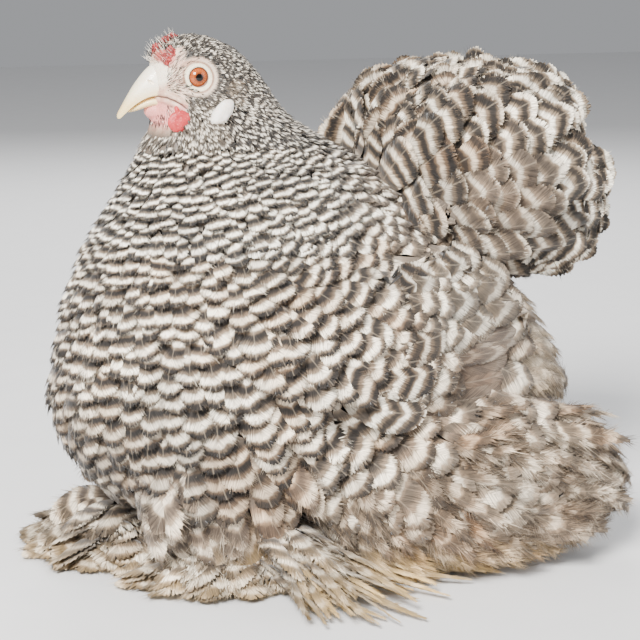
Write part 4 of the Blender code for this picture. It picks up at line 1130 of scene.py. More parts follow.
def build_tail_back(materials):
    """Feathers that hang over the tail's edge, face out, from the crown down to under the tail."""
    rng = np.random.default_rng(17)
    blade = Blade(8, 26, 0.6, 0.5, 0.62, 0.35, 2.2)
    share = np.linspace(0.0, 1.0, blade.segments + 1)
    rows = []
    for row, aside in enumerate(BACK_ROWS):
        for heading in np.arange(-54.0 + 4.5 * (row % 2), 150.0, 9.0):
            tip = heading + rng.uniform(-2.0, 2.0)
            angle = tip + 30.0 * (1.0 - share)
            across = aside * (1.0 + 0.06 * share) + rng.uniform(-0.0012, 0.0012)
            reach = rim_reach(angle) * np.interp(np.abs(across), BACK_ASIDE, BACK_REACH)
            reach = reach * (0.86 + 0.14 * share**1.2) * rng.uniform(0.97, 1.01)
            outward = np.stack([np.cos(np.radians(angle)), 0.0 * angle, np.sin(np.radians(angle))], -1)
            spine = outward * reach[:, None]
            spine[:, 1] = across
            rows.append((spine + np.array(TAIL_CENTRE) + SHIFT, outward + np.array((0.0, 26.0 * aside, 0.0))))
    spine, normal = (np.array(values) for values in zip(*rows))
    number = len(spine)
    ends = spine[:, -1] - SHIFT - np.array(TAIL_CENTRE)
    bars = -spine_lengths(spine) / rng.uniform(0.0078, 0.0094, number)
    phase = 0.10 - bars + rng.normal(0.0, 0.16, number)
    unwrap = fill_square(np.stack([np.arctan2(ends[:, 2], ends[:, 0]), ends[:, 1] * 20.0], -1))
    facts = fact_sheet(number, rng, bars, phase, unwrap, 0.46, 0.25, bend=0.62)
    facts["patch"] = TAIL_PATCH
    widths = rng.uniform(0.0062, 0.0078, number)
    piece = feathers("tail_back_feathers", blade, spine, unit(normal), widths, facts, rng, THICK, 0.30, 0.16,
                     56, 0.0058)
    finish_piece(piece, materials["tail"], "plumage")


WING_STRAIGHT = 0.0250  # aft of this x the wing leaves the trunk and runs straight
WING_CLOSING = 0.36  # how fast the straight run nears the tail's middle
# Layers of the folded wing, from the flights out to the coverts over them: tips from the upper to the lower
# one, roots likewise, count, half width, lift, warmth, strength of the bars.
WING_TIERS = [
    ((0.0660, 0.1000), (0.0600, 0.0780), (0.0080, 0.1060), (0.0060, 0.0840), 4, 0.0092, 0.0020, 0.75, 0.10),
    ((0.0700, 0.1060), (0.0660, 0.0950), (0.0080, 0.1140), (0.0060, 0.1040), 4, 0.0042, 0.0040, 0.60, 0.30),
    ((0.0750, 0.1150), (0.0362, 0.1040), (0.0450, 0.1250), (0.0060, 0.1170), 6, 0.0090, 0.0066, 0.25, 0.70),
    ((0.0690, 0.1265), (0.0271, 0.1150), (0.0390, 0.1350), (-0.0020, 0.1280), 6, 0.0090, 0.0080, 0.25, 0.60),
    ((0.0560, 0.1350), (0.0200, 0.1260), (0.0270, 0.1420), (-0.0060, 0.1350), 5, 0.0090, 0.0092, 0.30, 0.70),
    ((0.0260, 0.1320), (0.0240, 0.0930), (-0.0080, 0.1270), (-0.0160, 0.0980), 6, 0.0092, 0.0098, 0.40, 0.90),
    ((0.0200, 0.1000), (0.0160, 0.0760), (-0.0140, 0.1040), (-0.0220, 0.0880), 4, 0.0092, 0.0088, 0.40, 0.90),
]
FLIGHT_TIERS = 2  # the first layers are the flights, the others coverts


def trunk_half(x, z):
    """Half width of the trunk at a height and a place along it."""
    front, back, half_width = (np.interp(z, TRUNK[:, 0], TRUNK[:, column]) for column in (1, 2, 3))
    widest = front + (back - front) * WIDEST
    reach = np.where(x < widest, widest - front, back - widest)
    share = np.minimum(np.abs(x - widest) / reach, 1.0)
    return half_width * (1.0 - share**PLAN_POWER) ** (1.0 / PLAN_POWER)


def wing_side(x, z):
    """Half width of the hen under the wing: the trunk's, then a straight run behind it."""
    return trunk_half(np.minimum(x, WING_STRAIGHT), z) - np.clip(x - WING_STRAIGHT, 0.0, None) * WING_CLOSING


def build_wing_feathers(side, materials):
    """The folded wing, layer over layer."""
    rng = np.random.default_rng(11)
    sign = SIDES[side]
    blade = Blade(8, 44, 0.6, 0.45, 0.66, 0.3, 2.4)
    share = np.linspace(0.0, 1.0, blade.segments + 1)
    step = 0.001
    rows = []
    for tier, (*corners, count, half_width, lift, warm, barred) in enumerate(WING_TIERS):
        upper_tip, lower_tip, upper_root, lower_root = (np.array(corner) for corner in corners)
        for i in range(count):
            down = i / (count - 1)
            tip = upper_tip * (1.0 - down) + lower_tip * down
            tip = tip + (0.004 * math.sin(math.pi * down) + rng.uniform(-0.003, 0.003),
                         rng.uniform(-0.0015, 0.0015))
            root = upper_root * (1.0 - down) + lower_root * down
            line = root + (tip - root) * share[:, None]
            line[:, 1] -= 0.0030 * np.sin(math.pi * share)
            x, z = line.T
            slope_x = (wing_side(x + step, z) - wing_side(x - step, z)) / (2.0 * step)
            slope_z = (wing_side(x, z + step) - wing_side(x, z - step)) / (2.0 * step)
            rising = 2.0 * np.minimum(1.0, share / 0.5) - 1.0
            out = wing_side(x, z) + 0.0012 + (lift + 0.0010 * (i % 2)) * rising
            out = out - 0.0016 * np.clip(share - 0.7, 0.0, None) / 0.3
            rows.append((np.stack([x, out * sign, z], -1) + SHIFT,
                         unit(np.stack([-slope_x, sign + 0.0 * x, -slope_z], -1)),
                         half_width * rng.uniform(0.93, 1.07), warm, barred, tier < FLIGHT_TIERS, line[-1]))
    spines, normals, widths, warms, strengths, flights, tips = (np.array(values) for values in zip(*rows))
    number = len(rows)
    # Feathers with weaker bars get long bars, set so that one dark band lies about where each shows from
    # under the next: painted shade between the layers.
    pale = strengths < 0.75
    period = np.where(pale, rng.uniform(0.0150, 0.0190, number), rng.uniform(0.0100, 0.0125, number))
    bars = -spine_lengths(spines) / period
    phase = np.where(pale, -0.26, 0.08) - bars + rng.normal(0.0, 0.12, number)
    strengths = strengths * rng.uniform(0.9, 1.3, number)
    facts = fact_sheet(number, rng, bars, phase, fill_square(tips), 0.5, 0.0, barred=strengths, bend=0.6)
    facts["warm"] = np.clip(warms + rng.normal(0.0, 0.1, number), 0.0, 1.0)
    facts["tone"] = facts["tone"] - 0.24 - 0.18 * (warms > 0.5) + rng.normal(0.0, 0.09, number)
    for label, own, material, replaced in (("feathers", flights, "tail", [f"wing_{side}"]),
                                           ("coverts", ~flights, "covert", [])):
        mine = {key: values[own] for key, values in facts.items()}
        mine["patch"] = WIDE_PATCH
        piece = feathers(f"wing_{label}_{side}", blade, spines[own], normals[own], widths[own], mine, rng,
                         THICK, 0.34, 0.10, 40, 0.0045)
        finish_piece(piece, materials[material], "plumage", *replaced)


# Footings of each foot: heading of the first and last feather from +X towards her own side, count, reach
# ahead and aside, half width, height of root and tip, stain, spread of the reach.
FOOTINGS = {
    "left": [
        (222.0, 60.0, 22, 0.0530, 0.0340, 0.0070, 0.0060, 0.0012, 0.30, 0.14),
        (214.0, 66.0, 20, 0.0460, 0.0300, 0.0074, 0.0120, 0.0030, 0.15, 0.14),
        (208.0, 70.0, 18, 0.0400, 0.0260, 0.0074, 0.0200, 0.0060, 0.08, 0.14),
        (205.0, 75.0, 15, 0.0330, 0.0220, 0.0070, 0.0280, 0.0120, 0.05, 0.14),
        (74.0, 20.0, 26, 0.0960, 0.0940, 0.0019, 0.0060, 0.0010, 1.00, 0.42),
        (74.0, 24.0, 24, 0.0880, 0.0850, 0.0022, 0.0110, 0.0030, 0.90, 0.40),
        (78.0, 28.0, 18, 0.0730, 0.0710, 0.0030, 0.0180, 0.0070, 0.60, 0.30),
        (82.0, 30.0, 12, 0.0580, 0.0580, 0.0046, 0.0240, 0.0130, 0.20, 0.20),
    ],
    "right": [
        (252.0, 76.0, 24, 0.0560, 0.0520, 0.0086, 0.0060, 0.0012, 0.25, 0.10),
        (246.0, 80.0, 21, 0.0490, 0.0460, 0.0084, 0.0110, 0.0050, 0.15, 0.12),
        (240.0, 84.0, 18, 0.0410, 0.0380, 0.0078, 0.0180, 0.0110, 0.05, 0.12),
        (56.0, 16.0, 17, 0.1050, 0.1050, 0.0027, 0.0060, 0.0010, 0.90, 0.30),
        (58.0, 20.0, 15, 0.0950, 0.0950, 0.0030, 0.0110, 0.0050, 0.65, 0.30),
        (62.0, 26.0, 11, 0.0860, 0.0860, 0.0044, 0.0170, 0.0100, 0.30, 0.20),
    ],
}


LOCK_STEP = 11.0  # degrees from one lock of narrow toe feathers to the next
LOCKED_WIDTH = 0.0035  # feathers whose layer is narrower than this hang together in locks
BROAD_WIDTH = 0.0052  # half width from which a feather counts as one of the broad ones


def build_footings(side, materials):
    """Feathers that spread from the toes and droop to the floor, the outer toe's long, narrow and stained."""
    rng = np.random.default_rng(23)
    broad = Blade(8, 34, 0.85, 0.45, 0.62, 0.3, 2.1)
    narrow = Blade(8, 30, 1.0, 0.35, 0.48, 0.2, 1.5)
    share = np.linspace(0.0, 1.0, narrow.segments + 1)[:, None]
    centre = np.array(FOOT_CENTRE[side]) * (1.0, 1.0, 0.0)
    start = 0.010
    rows = []
    for first, last, count, ahead, aside, half_width, high, low, stain, spread_out in FOOTINGS[side]:
        for i in range(count):
            heading = first + (last - first) * i / (count - 1) + rng.uniform(-4.5, 4.5)
            if half_width < LOCKED_WIDTH:
                clump = LOCK_STEP * (round(heading / LOCK_STEP) + 0.2)
                heading = clump + (heading - clump) * 0.55
            angle = math.radians(heading)
            way = np.array((math.cos(angle), math.sin(angle) * SIDES[side], 0.0))
            aslant = np.array((-way[1], way[0], 0.0))
            reach = rng.uniform(1.0 - spread_out, 1.03)
            reach = reach / math.hypot(math.cos(angle) / ahead, math.sin(angle) / aside)
            level = high + (low - high) * share**1.5 + 0.0035 * np.sin(math.pi * share)
            level += 0.0012 * (i % 3)
            bow = (rng.uniform(-0.10, 0.10) - 0.10 * math.sin(heading * 0.5)) * reach
            line = centre + way * (start + (reach - start) * share) + aslant * bow * share**2
            rows.append((line + np.array((0.0, 0.0, 1.0)) * level + SHIFT,
                         half_width * rng.uniform(0.80, 1.20),
                         stain * rng.uniform(0.6, 1.4), (heading, high + 0.004 * i / count)))
    spines, widths, stains, headings = (np.array(values) for values in zip(*rows))
    unwrap = fill_square(headings)
    for name, own, blade, widened, barb_length, coarse, replaced in (
        (f"foot_feathers_{side}", widths >= BROAD_WIDTH, broad, 1.15, 0.0100, 1.1, [f"foot_{side}"]),
        (f"toe_feathers_{side}", widths < BROAD_WIDTH, narrow, 1.0, 0.0110, 1.5, []),
    ):
        spine, width, stain = spines[own], widths[own], np.clip(stains[own], 0.0, 1.0)
        number = len(spine)
        normals = np.zeros_like(spine)
        normals[:, :, 2] = 1.0
        bars = spine_lengths(spine) / rng.uniform(0.0085, 0.0115, number)
        phase = 0.32 - bars + rng.normal(0.0, 0.22, number)
        facts = fact_sheet(number, rng, bars, phase, unwrap[own], 0.42, 0.30, stain, 1.0 - 0.35 * stain)
        facts["tone"] = facts["tone"] + rng.normal(0.0, 0.12, number) - 0.14 * (width < 0.004)
        facts["patch"] = WIDE_PATCH
        piece = feathers(name, blade, spine, normals, width * widened, facts, rng, THICK, 0.34, 0.36, 70,
                         barb_length, coarse)
        finish_piece(piece, materials["foot"], "plumage", *replaced)


# Skin, bill, comb, lobes, wattles, eyes and claws.

def near_point(tree, x, z, inner, outer):
    """A mask round a line across the head: 1 within the inner distance of it, 0 beyond the outer one."""
    return spread(tree, vector_maths(tree, "LENGTH", off_axis(tree, x, z)), inner, outer, 1.0, 0.0)


def near_line(tree, start, end, inner, outer):
    """A mask round a plate across the head, from one x and z to another."""
    run = Vector((end[0] - start[0], 0.0, end[1] - start[1]))
    place = off_axis(tree, *start)
    share = vector_maths(tree, "DOT_PRODUCT", place, run / run.length_squared)
    share = maths(tree, "MINIMUM", maths(tree, "MAXIMUM", share, 0.0), 1.0)
    away = vector_maths(tree, "DISTANCE", place, vector_maths(tree, "MULTIPLY", run, share))
    return spread(tree, away, inner, outer, 1.0, 0.0)


# Tints of the face: x and z of their middle, how far they reach whole and at all, colour.
EYE_PLACE = (EYE[0], EYE[2])
FACE_TINTS = [
    ((-0.0735, 0.1945), 0.0035, 0.0075, (226, 146, 138)),
    ((-0.0655, 0.1945), 0.0020, 0.0060, (228, 160, 150)),
    ((-0.0702, 0.2180), 0.0022, 0.0044, (196, 96, 86)),
    ((-0.0730, 0.2110), 0.0030, 0.0060, (248, 234, 212)),
    ((EYE[0] + 0.0020, EYE[2] - 0.0010), 0.0064, 0.0092, (222, 200, 178)),
    # A darker ring round the lids: painted shade in the crease round the eye.
    (EYE_PLACE, 0.0062, 0.0070, (158, 124, 102)),
    (EYE_PLACE, 0.0054, 0.0060, (248, 234, 204)),
    (EYE_PLACE, 0.0040, 0.0044, (110, 74, 58)),
]


def skin_material():
    """Cream round the eye and at the bill, pink at the throat and gape, grey where feathers cover it, and
    painted shade in the crease round the eye.
    """
    material, tree, shader = new_material("face_skin", 0.50, Subsurface_Weight=0.06, Subsurface_Scale=0.002)
    place = object_place(tree)
    height = add_node(tree, "ShaderNodeSeparateXYZ", Vector=place).outputs["Z"]
    fine = noise(tree, place, 1300.0, 3.0)
    colour = mixed(tree, cloudy(tree, place, 300.0, 3.0), linear(220, 190, 166), linear(198, 158, 136))
    for spot, inner, outer, tint in FACE_TINTS:
        colour = mixed(tree, near_point(tree, *spot, inner, outer), colour, linear(*tint))
    for start, end in zip(GAPE_LINE, GAPE_LINE[1:]):
        colour = mixed(tree, near_line(tree, start, end, 0.0001, 0.0006), colour, linear(96, 66, 56))
    lined = shaded(tree, colour, spread(tree, fine, 0.30, 0.60, 0.80, 1.0))
    front = near_line(tree, (-0.0725, 0.2195), (-0.0720, 0.1915), 0.0085, 0.0110)
    open_skin = maths(tree, "MAXIMUM", front, near_point(tree, *EYE_PLACE, 0.0072, 0.0090))
    open_skin = maths(tree, "MULTIPLY", open_skin, spread(tree, height, 0.184, 0.192))
    covered = mixed(tree, spread(tree, height, 0.170, 0.190), linear(122, 109, 96), linear(74, 67, 60))
    tree.links.new(mixed(tree, open_skin, covered, lined), shader.inputs["Base Color"])
    bump(tree, shader, fine, 0.6, 0.0003)
    return material


def flesh_material(name, base, deep, pale):
    """Soft fleshy skin with fine pimples."""
    material, tree, shader = new_material(name, 0.5, Subsurface_Weight=0.08, Subsurface_Scale=0.002)
    place = object_place(tree)
    fine = noise(tree, place, 1500.0)
    colour = mixed(tree, cloudy(tree, place, 260.0, 3.0), linear(*base), linear(*deep))
    colour = mixed(tree, spread(tree, fine, 0.55, 0.75), colour, linear(*pale))
    tree.links.new(colour, shader.inputs["Base Color"])
    bump(tree, shader, fine, 0.6, 0.0003)
    return material


def bill_material():
    """Pale horn: cream where it grows from the face, yellower along the edge, with lengthwise grain."""
    material, tree, shader = new_material("bill_horn", 0.34, Coat_Weight=0.15, Subsurface_Weight=0.05,
                                          Subsurface_Scale=0.002)
    place = from_point(tree, (-0.0690, 0.0, 0.2000))
    parts = add_node(tree, "ShaderNodeSeparateXYZ", Vector=place).outputs
    towards_tip = spread(tree, parts["X"], -0.021, -0.002, 1.0, 0.0)
    colour = ramp(tree, towards_tip, [
        (0.0, 252, 242, 224), (0.45, 250, 238, 212), (0.80, 244, 228, 190), (1.0, 232, 214, 178)])
    edge = spread(tree, maths(tree, "MULTIPLY_ADD", parts["X"], -0.42, parts["Z"]), 0.0035, 0.0095, 1.0, 0.0)
    colour = mixed(tree, maths(tree, "MULTIPLY", edge, 0.75), colour, linear(240, 208, 134))
    stretched = add_node(tree, "ShaderNodeMapping", Vector=place, Scale=(260.0, 900.0, 900.0))
    grain = noise(tree, stretched.outputs["Vector"], 1.0, 3.0)
    colour = mixed(tree, spread(tree, grain, 0.42, 0.72, 0.0, 0.22), colour, linear(214, 186, 140))
    tree.links.new(colour, shader.inputs["Base Color"])
    bump(tree, shader, grain, 0.18, 0.0002)
    return material


def claw_material():
    """Pale horn with fine grain."""
    material, tree, shader = new_material("claw_horn", 0.42)
    grain = noise(tree, object_place(tree), 700.0, 3.0)
    colour = mixed(tree, spread(tree, grain, 0.35, 0.7), linear(206, 186, 148), linear(158, 136, 104))
    tree.links.new(colour, shader.inputs["Base Color"])
    bump(tree, shader, grain, 0.2, 0.0002)
    return material


def eye_material():
    """Black pupil, orange-brown iris with radial threads and a dark rim, by distance from the eye's axis."""
    material, tree, shader = new_material("eye_wet", 0.10, Coat_Weight=0.35, Coat_Roughness=0.03,
                                          Specular_IOR_Level=0.2)
    place = off_axis(tree, *EYE_PLACE)
    ring = ramp(tree, maths(tree, "DIVIDE", vector_maths(tree, "LENGTH", place), IRIS_RADIUS), [
        (0.0, 8, 6, 6), (0.33, 10, 8, 7), (0.37, 116, 56, 26), (0.60, 178, 90, 40),
        (0.80, 166, 82, 40), (0.90, 84, 44, 28), (1.0, 40, 26, 22)])
    threads = noise(tree, vector_maths(tree, "NORMALIZE", place), 9.0, 4.0, 0.7)
    colour = mixed(tree, spread(tree, threads, 0.4, 0.65, 0.0, 0.45), ring, linear(96, 52, 30), "MULTIPLY")
    tree.links.new(colour, shader.inputs["Base Color"])
    return material


def strand(name, points, radii):
    """A round fold or stalk along points, thick as its radii."""
    curve = bpy.data.curves.new(name, "CURVE")
    curve.dimensions = "3D"
    curve.bevel_depth = 1.0
    curve.bevel_resolution = 3
    curve.use_fill_caps = True
    spline = curve.splines.new("POLY")
    spline.points.add(len(points) - 1)
    for spot, point, radius in zip(spline.points, points, radii):
        spot.co = (*placed(point), 1.0)
        spot.radius = radius
    work_on(new_object(name, curve))
    bpy.ops.object.convert(target="MESH")
    return bpy.context.object


def skin_point(surface, x, z, side, out=0.0):
    """Where a line across the head at x and z meets her skin on one side."""
    sign = SIDES[side]
    hit = surface.tree.ray_cast(placed((x, sign * 0.05, z)), Vector((0.0, -sign, 0.0)))[0]
    across = hit.y - SHIFT[1] if hit is not None else 0.0
    return (x, across + sign * out, z)


# Folds of each side of the face: line, thickness along it and how far they stand out of the skin.
FOLDS = [
    (GAPE_FOLD, (0.0008, 0.0013, 0.0014, 0.0012, 0.0005), 0.0002),
    ([(x - 0.0004, z - 0.0027) for x, z in GAPE_FOLD], (0.0007, 0.0011, 0.0011, 0.0009, 0.0004), 0.0000),
    (BROW_FOLD, (0.0004, 0.0009, 0.0010, 0.0008, 0.0004), -0.0003),
    (CHEEK_FOLD, (0.0004, 0.0007, 0.0008, 0.0007, 0.0003), -0.0001),
]
LID_RADIUS = 0.0046
LID_THICKNESS = 0.00085
LID_CORNERS = [(-0.0055, -0.0006, 0.0010), (0.0057, -0.0002, 0.0009)]  # x and z from the eye, radius


def face_folds(surface):
    """Lids, gape folds, brow and the throat's pouch, to be melted into the face."""
    folds = [ball("fold", (-0.0725, 0.0, 0.1955), (0.0052, 0.0050, 0.0042), 24, 16),
             ball("fold", (-0.0700, 0.0, 0.1925), (0.0050, 0.0056, 0.0046), 24, 16)]
    for side, sign in SIDES.items():
        work_on()
        bpy.ops.mesh.primitive_torus_add(
            major_radius=LID_RADIUS, minor_radius=LID_THICKNESS, major_segments=40, minor_segments=12,
            location=placed((EYE[0], sign * (EYE[1] + 0.0028), EYE[2])),
            rotation=(math.radians(90.0), 0.0, 0.0))
        folds.append(bpy.context.object)
        settle(folds[-1])
        for x, z, radius in LID_CORNERS:
            corner = (EYE[0] + x, sign * (EYE[1] + 0.0026), EYE[2] + z)
            folds.append(ball("fold", corner, [radius] * 3, 12, 8))
        for line, radii, out in FOLDS:
            folds.append(strand("fold", [skin_point(surface, x, z, side, out) for x, z in line], radii))
    return folds


def sunk(obj, depth, share):
    """Sinks a piece by a depth, of which each corner takes its share."""
    group = obj.vertex_groups.new(name="depth")
    for vert in obj.data.vertices:
        group.add([vert.index], float(share(vert.co)), "REPLACE")
    take_modifier(obj, "DISPLACE", strength=-depth, mid_level=0.0, vertex_group="depth")


def build_skin(materials, surface):
    """Head and body in one: fine on the face, coarser where feathers hide it, sunk by the coat's depth."""
    face = copied_nodes("skin", ["head", "neck"])
    join_into(face, face_folds(surface))
    smoothed_form(face, 0.00047, 3)
    legs = ["thigh_left", "thigh_right", "shank_left", "shank_right"]
    body = copied_nodes("body_skin", ["torso", "neck", *legs])
    cores = [ball("core", TAIL_CENTRE, [r * 0.70 for r in TAIL_REACH])]
    for side, sign in SIDES.items():
        cores.append(ball("core", FOOT_CENTRE[side], (0.028, 0.016, 0.011)))
        cores.append(ball("core", (0.0050, sign * 0.0560, 0.1080), (0.0560, 0.0060, 0.0220)))
    join_into(body, cores)
    smoothed_form(body, 0.0030, 6)
    sunk(body, 0.0052, lambda place: smooth_step(0.215, 0.150, place.z) * 0.9 + 0.1)
    shift = Vector(tuple(SHIFT))
    sunk(face, 0.0050, lambda place: (smooth_step(0.200, 0.186, (place - shift).z)
                                      * smooth_step(-0.0700, -0.0560, (place - shift).x)))
    edit_whole(face, bpy.ops.mesh.bisect, plane_co=placed((-0.0750, 0.0, 0.1790)), plane_no=(-0.18, 0.0, 1.0),
               use_fill=True, clear_inner=True)
    join_into(face, [body])
    for vert in face.data.vertices:
        vert.co.z = max(vert.co.z, 0.0002)
    finish_piece(face, materials["skin"], "plumage", "head", "neck", "torso", *legs)


def build_bill(name, sections, underside):
    """Horn lofted over its sections from the face to the tip."""
    around = 28
    shell = bmesh.new()
    rings = []
    for top, edge, half in sections:
        ring = []
        for k in range(around):
            angle = 2.0 * math.pi * k / around
            across = math.copysign(abs(math.cos(angle)) ** 0.75, math.cos(angle)) * half
            height = max(math.sin(angle), 0.0) ** 0.92 + underside * min(math.sin(angle), 0.0)
            x = edge[0] + (top[0] - edge[0]) * max(height, 0.0)
            z = edge[1] + (top[1] - edge[1]) * height
            ring.append(shell.verts.new(placed((x, across, z))))
        rings.append(ring)
    for first, second in zip(rings, rings[1:]):
        for k in range(around):
            after = (k + 1) % around
            shell.faces.new((first[k], second[k], second[after], first[after]))
    shell.faces.new(rings[0])
    shell.faces.new(rings[-1][::-1])
    bmesh.ops.recalc_face_normals(shell, faces=shell.faces)
    mesh = bpy.data.meshes.new(name)
    shell.to_mesh(mesh)
    shell.free()
    obj = new_object(name, mesh)
    take_modifier(obj, "SUBSURF", levels=2, render_levels=2)
    return obj


def roughened(obj, strength, size):
    """Fine irregular bumps over a fleshy piece."""
    texture = bpy.data.textures.new("pimples", "CLOUDS")
    texture.noise_scale = size
    take_modifier(obj, "DISPLACE", strength=strength, mid_level=0.5, texture=texture, texture_coords="LOCAL")


def fleshy(obj, voxel, rounds, strength, size, material, slot, node):
    """Finishes a soft piece: its shells melted into one, smoothed and pimpled."""
    smoothed_form(obj, voxel, rounds)
    roughened(obj, strength, size)
    finish_piece(obj, material, slot, node)


def build_face_parts(materials, surface):
    """Bill, comb, and each side's wattle, ear lobe, eye and claws."""
    upper = build_bill("bill_upper_form", UPPER_BILL, 0.10)
    slits = []
    for sign in SIDES.values():
        spot = (NOSTRIL[0], sign * NOSTRIL[1], NOSTRIL[2])
        slits.append(ball("slit", spot, NOSTRIL_SIZE, 16, 10, NOSTRIL_TILT))
    join_into(slits[0], slits[1:])
    take_modifier(upper, "BOOLEAN", object=slits[0], operation="DIFFERENCE", solver="EXACT")
    bpy.data.objects.remove(slits[0])
    work_on(upper)
    bpy.ops.object.shade_smooth_by_angle(angle=math.radians(50.0))
    finish_piece(upper, materials["bill"], "horn", "bill_upper")
    lower = build_bill("bill_lower_form", LOWER_BILL, 0.85)
    work_on(lower)
    bpy.ops.object.shade_smooth()
    finish_piece(lower, materials["bill"], "horn", "bill_lower")
    comb = copied_nodes("comb_form", ["comb"])
    patches = [ball("patch", COMB_PATCH, (0.0030, 0.0036, 0.0044), 24, 16, -35.0)]
    for side in SIDES:
        for x, z, radius in COMB_SPREAD:
            spot = skin_point(surface, x, z, side)
            patches.append(ball("patch", spot, (radius, 0.0009, radius * 1.5), 16, 12, -30.0))
    join_into(comb, patches)
    fleshy(comb, 0.00035, 3, 0.0022, 0.0008, materials["comb"], "comb", "comb")
    for side, sign in SIDES.items():
        x, z = WATTLE["centre"]
        hang = skin_point(surface, x, z, side, 0.0012)
        wattle = ball(f"wattle_{side}_form", hang, WATTLE["size"], tilt=WATTLE["tilt"])
        root = skin_point(surface, x - 0.0006, z + 0.0062, side, 0.0002)
        middle = skin_point(surface, x - 0.0004, z + 0.0035, side, 0.0010)
        join_into(wattle, [strand("stalk", [root, middle, hang], (0.0007, 0.0013, 0.0018))])
        fleshy(wattle, 0.00038, 6, 0.0006, 0.0022, materials["wattle"], "comb", f"wattle_{side}")
        hang = skin_point(surface, *LOBE["centre"], side, 0.0010)
        lobe = ball(f"earlobe_{side}_form", hang, LOBE["size"], tilt=LOBE["tilt"])
        fleshy(lobe, 0.00040, 3, 0.0006, 0.0026, materials["lobe"], "lobe", f"earlobe_{side}")
        centre = (EYE[0], EYE[1] * sign, EYE[2])
        eye = ball(f"eyeball_{side}", centre, [EYE_RADIUS] * 3, 48, 32)
        bpy.ops.object.shade_smooth()
        finish_piece(eye, materials["eye"], "eye", f"eye_{side}")
        build_claws(side, materials)


def build_claws(side, materials):
    for number in range(1, 5):
        node = f"claw_{side}_{number}"
        piece = copied_nodes(node + "_form", [node])
        take_modifier(piece, "SUBSURF", levels=1, render_levels=1)
        bpy.ops.object.shade_smooth()
        finish_piece(piece, materials["claw"], "claw", node)


# Floor, light and camera.

# Name, place, size, power and colour of each lamp. All are turned to the hen's middle.
LAMPS = [
    ("key", (-0.75, -0.95, 1.05), 0.5, 80.0, (1.0, 0.98, 0.95)),
    ("fill", (1.10, -0.80, 0.55), 1.0, 11.0, (0.95, 0.97, 1.0)),
    ("rim", (0.30, 1.10, 0.90), 0.8, 16.0, (1.0, 1.0, 1.0)),
]
LIT_POINT = (0.0, 0.0, 0.10)
# The photograph's view: where the camera stands round the hen, what it looks at, and how much it shows.
AZIMUTH = -20.0
ELEVATION = 12.0
DISTANCE = 0.80
AIM = (0.0, 0.0, 0.101)
FIELD = 640 * 0.00044  # the photograph's pixels, times what one of them spans at the hen
SENSOR = 36.0


def build_stage():
    """A pale floor, soft surroundings and three lamps."""
    work_on()
    bpy.ops.mesh.primitive_plane_add(size=6.0, location=(0.0, 0.0, 0.0))
    floor = bpy.context.object
    floor.name = "floor"
    material, tree, shader = new_material("pale_floor", 0.7)
    mottled = noise(tree, object_place(tree), 40.0, 4.0)
    colour = mixed(tree, mottled, linear(226, 226, 226), linear(220, 220, 221))
    tree.links.new(colour, shader.inputs["Base Color"])
    floor.data.materials.append(material)
    world = bpy.data.worlds.new("studio")
    bpy.context.scene.world = world
    world.use_nodes = True
    background = world.node_tree.nodes["Background"]
    background.inputs["Color"].default_value = linear(232, 234, 238)
    background.inputs["Strength"].default_value = 0.45
    for name, place, size, energy, colour in LAMPS:
        lamp = bpy.data.lights.new(name, "AREA")
        lamp.size = size
        lamp.energy = energy
        lamp.color = colour
        obj = new_object(name, lamp)
        obj.location = place
        obj.rotation_euler = (Vector(LIT_POINT) - Vector(place)).to_track_quat("-Z", "Y").to_euler()


def build_camera():
    azimuth, elevation = math.radians(AZIMUTH), math.radians(ELEVATION)
    back = Vector((math.sin(azimuth) * math.cos(elevation), -math.cos(azimuth) * math.cos(elevation),
                   math.sin(elevation)))
    camera = bpy.data.cameras.new("camera")
    camera.sensor_width = SENSOR
    camera.lens = SENSOR * DISTANCE / FIELD
    obj = new_object("camera", camera)
    obj.location = placed(AIM) + back * DISTANCE
    obj.rotation_euler = (-back).to_track_quat("-Z", "Y").to_euler()
    bpy.context.scene.camera = obj


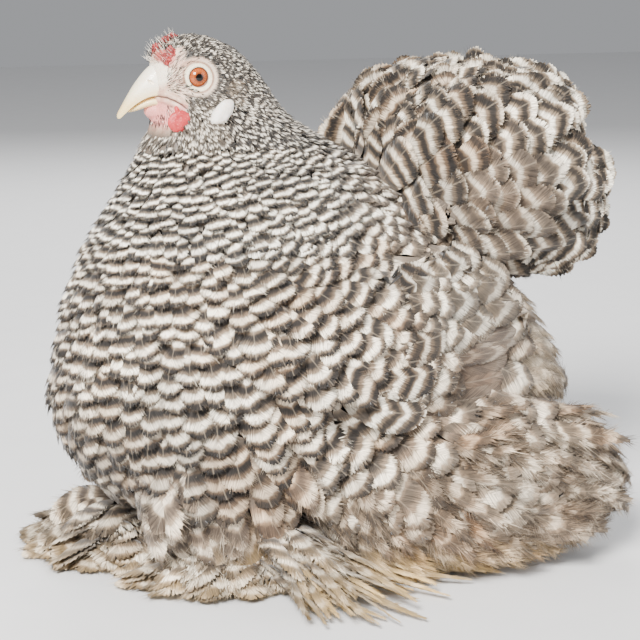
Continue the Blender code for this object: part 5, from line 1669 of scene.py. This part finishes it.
# Each kind of plumage: its pale bars, middle tone, dark bars and unbarred parts; the strength of the bars,
# how far they waver, and rows of barbs along a feather.
PLUMAGE = {
    "head": ((242, 234, 218), (84, 76, 67), (34, 30, 27), (136, 124, 107), 0.90, 0.70, 10.0),
    "neck": ((255, 249, 232), (112, 100, 86), (30, 27, 24), (138, 121, 104), 0.95, 0.34, 18.0),
    "body": ((255, 247, 228), (116, 101, 84), (30, 25, 21), (176, 160, 140), 0.95, 0.30, 40.0),
    "tail": ((255, 248, 230), (126, 110, 91), (36, 30, 24), (138, 121, 104), 0.88, 0.34, 46.0),
    "covert": ((255, 248, 230), (112, 96, 78), (34, 27, 21), (150, 134, 113), 0.95, 0.30, 46.0),
    "fluff": ((250, 240, 220), (138, 122, 102), (62, 53, 44), (150, 134, 112), 0.62, 0.60, 26.0),
    "foot": ((248, 238, 218), (144, 128, 108), (62, 53, 45), (138, 121, 104), 0.90, 0.35, 44.0),
}
# Flesh: its usual colour, its deeper patches and its paler pimples.
FLESH = {
    "comb": ((158, 50, 46), (114, 30, 30), (200, 104, 92)),
    "wattle": ((192, 58, 60), (170, 42, 46), (212, 98, 92)),
    "lobe": ((246, 240, 232), (232, 220, 208), (252, 248, 242)),
}


def build_hen():
    materials = {name: plumage_material(f"{name}_plumage", *looks) for name, looks in PLUMAGE.items()}
    materials.update({name: flesh_material(f"{name}_flesh", *looks) for name, looks in FLESH.items()})
    materials["skin"] = skin_material()
    materials["bill"] = bill_material()
    materials["eye"] = eye_material()
    materials["claw"] = claw_material()
    limbs = [f"{limb}_{side}" for limb in ("wing", "thigh", "shank") for side in SIDES]
    carrier = Carrier(["torso", "neck", "head", *limbs], 0.0024, 12)
    head_carrier = Carrier(["neck", "head"], 0.0010, 3)
    build_skin(materials, head_carrier)
    build_face_parts(materials, head_carrier)
    build_trunk_coat(carrier, materials)
    build_head_coat(head_carrier, materials)
    build_leg_coat(carrier, materials)
    build_tail_coat(materials)
    build_tail_back(materials)
    for side in SIDES:
        build_wing_feathers(side, materials)
        build_footings(side, materials)


build_camera()
build_hen()
build_stage()
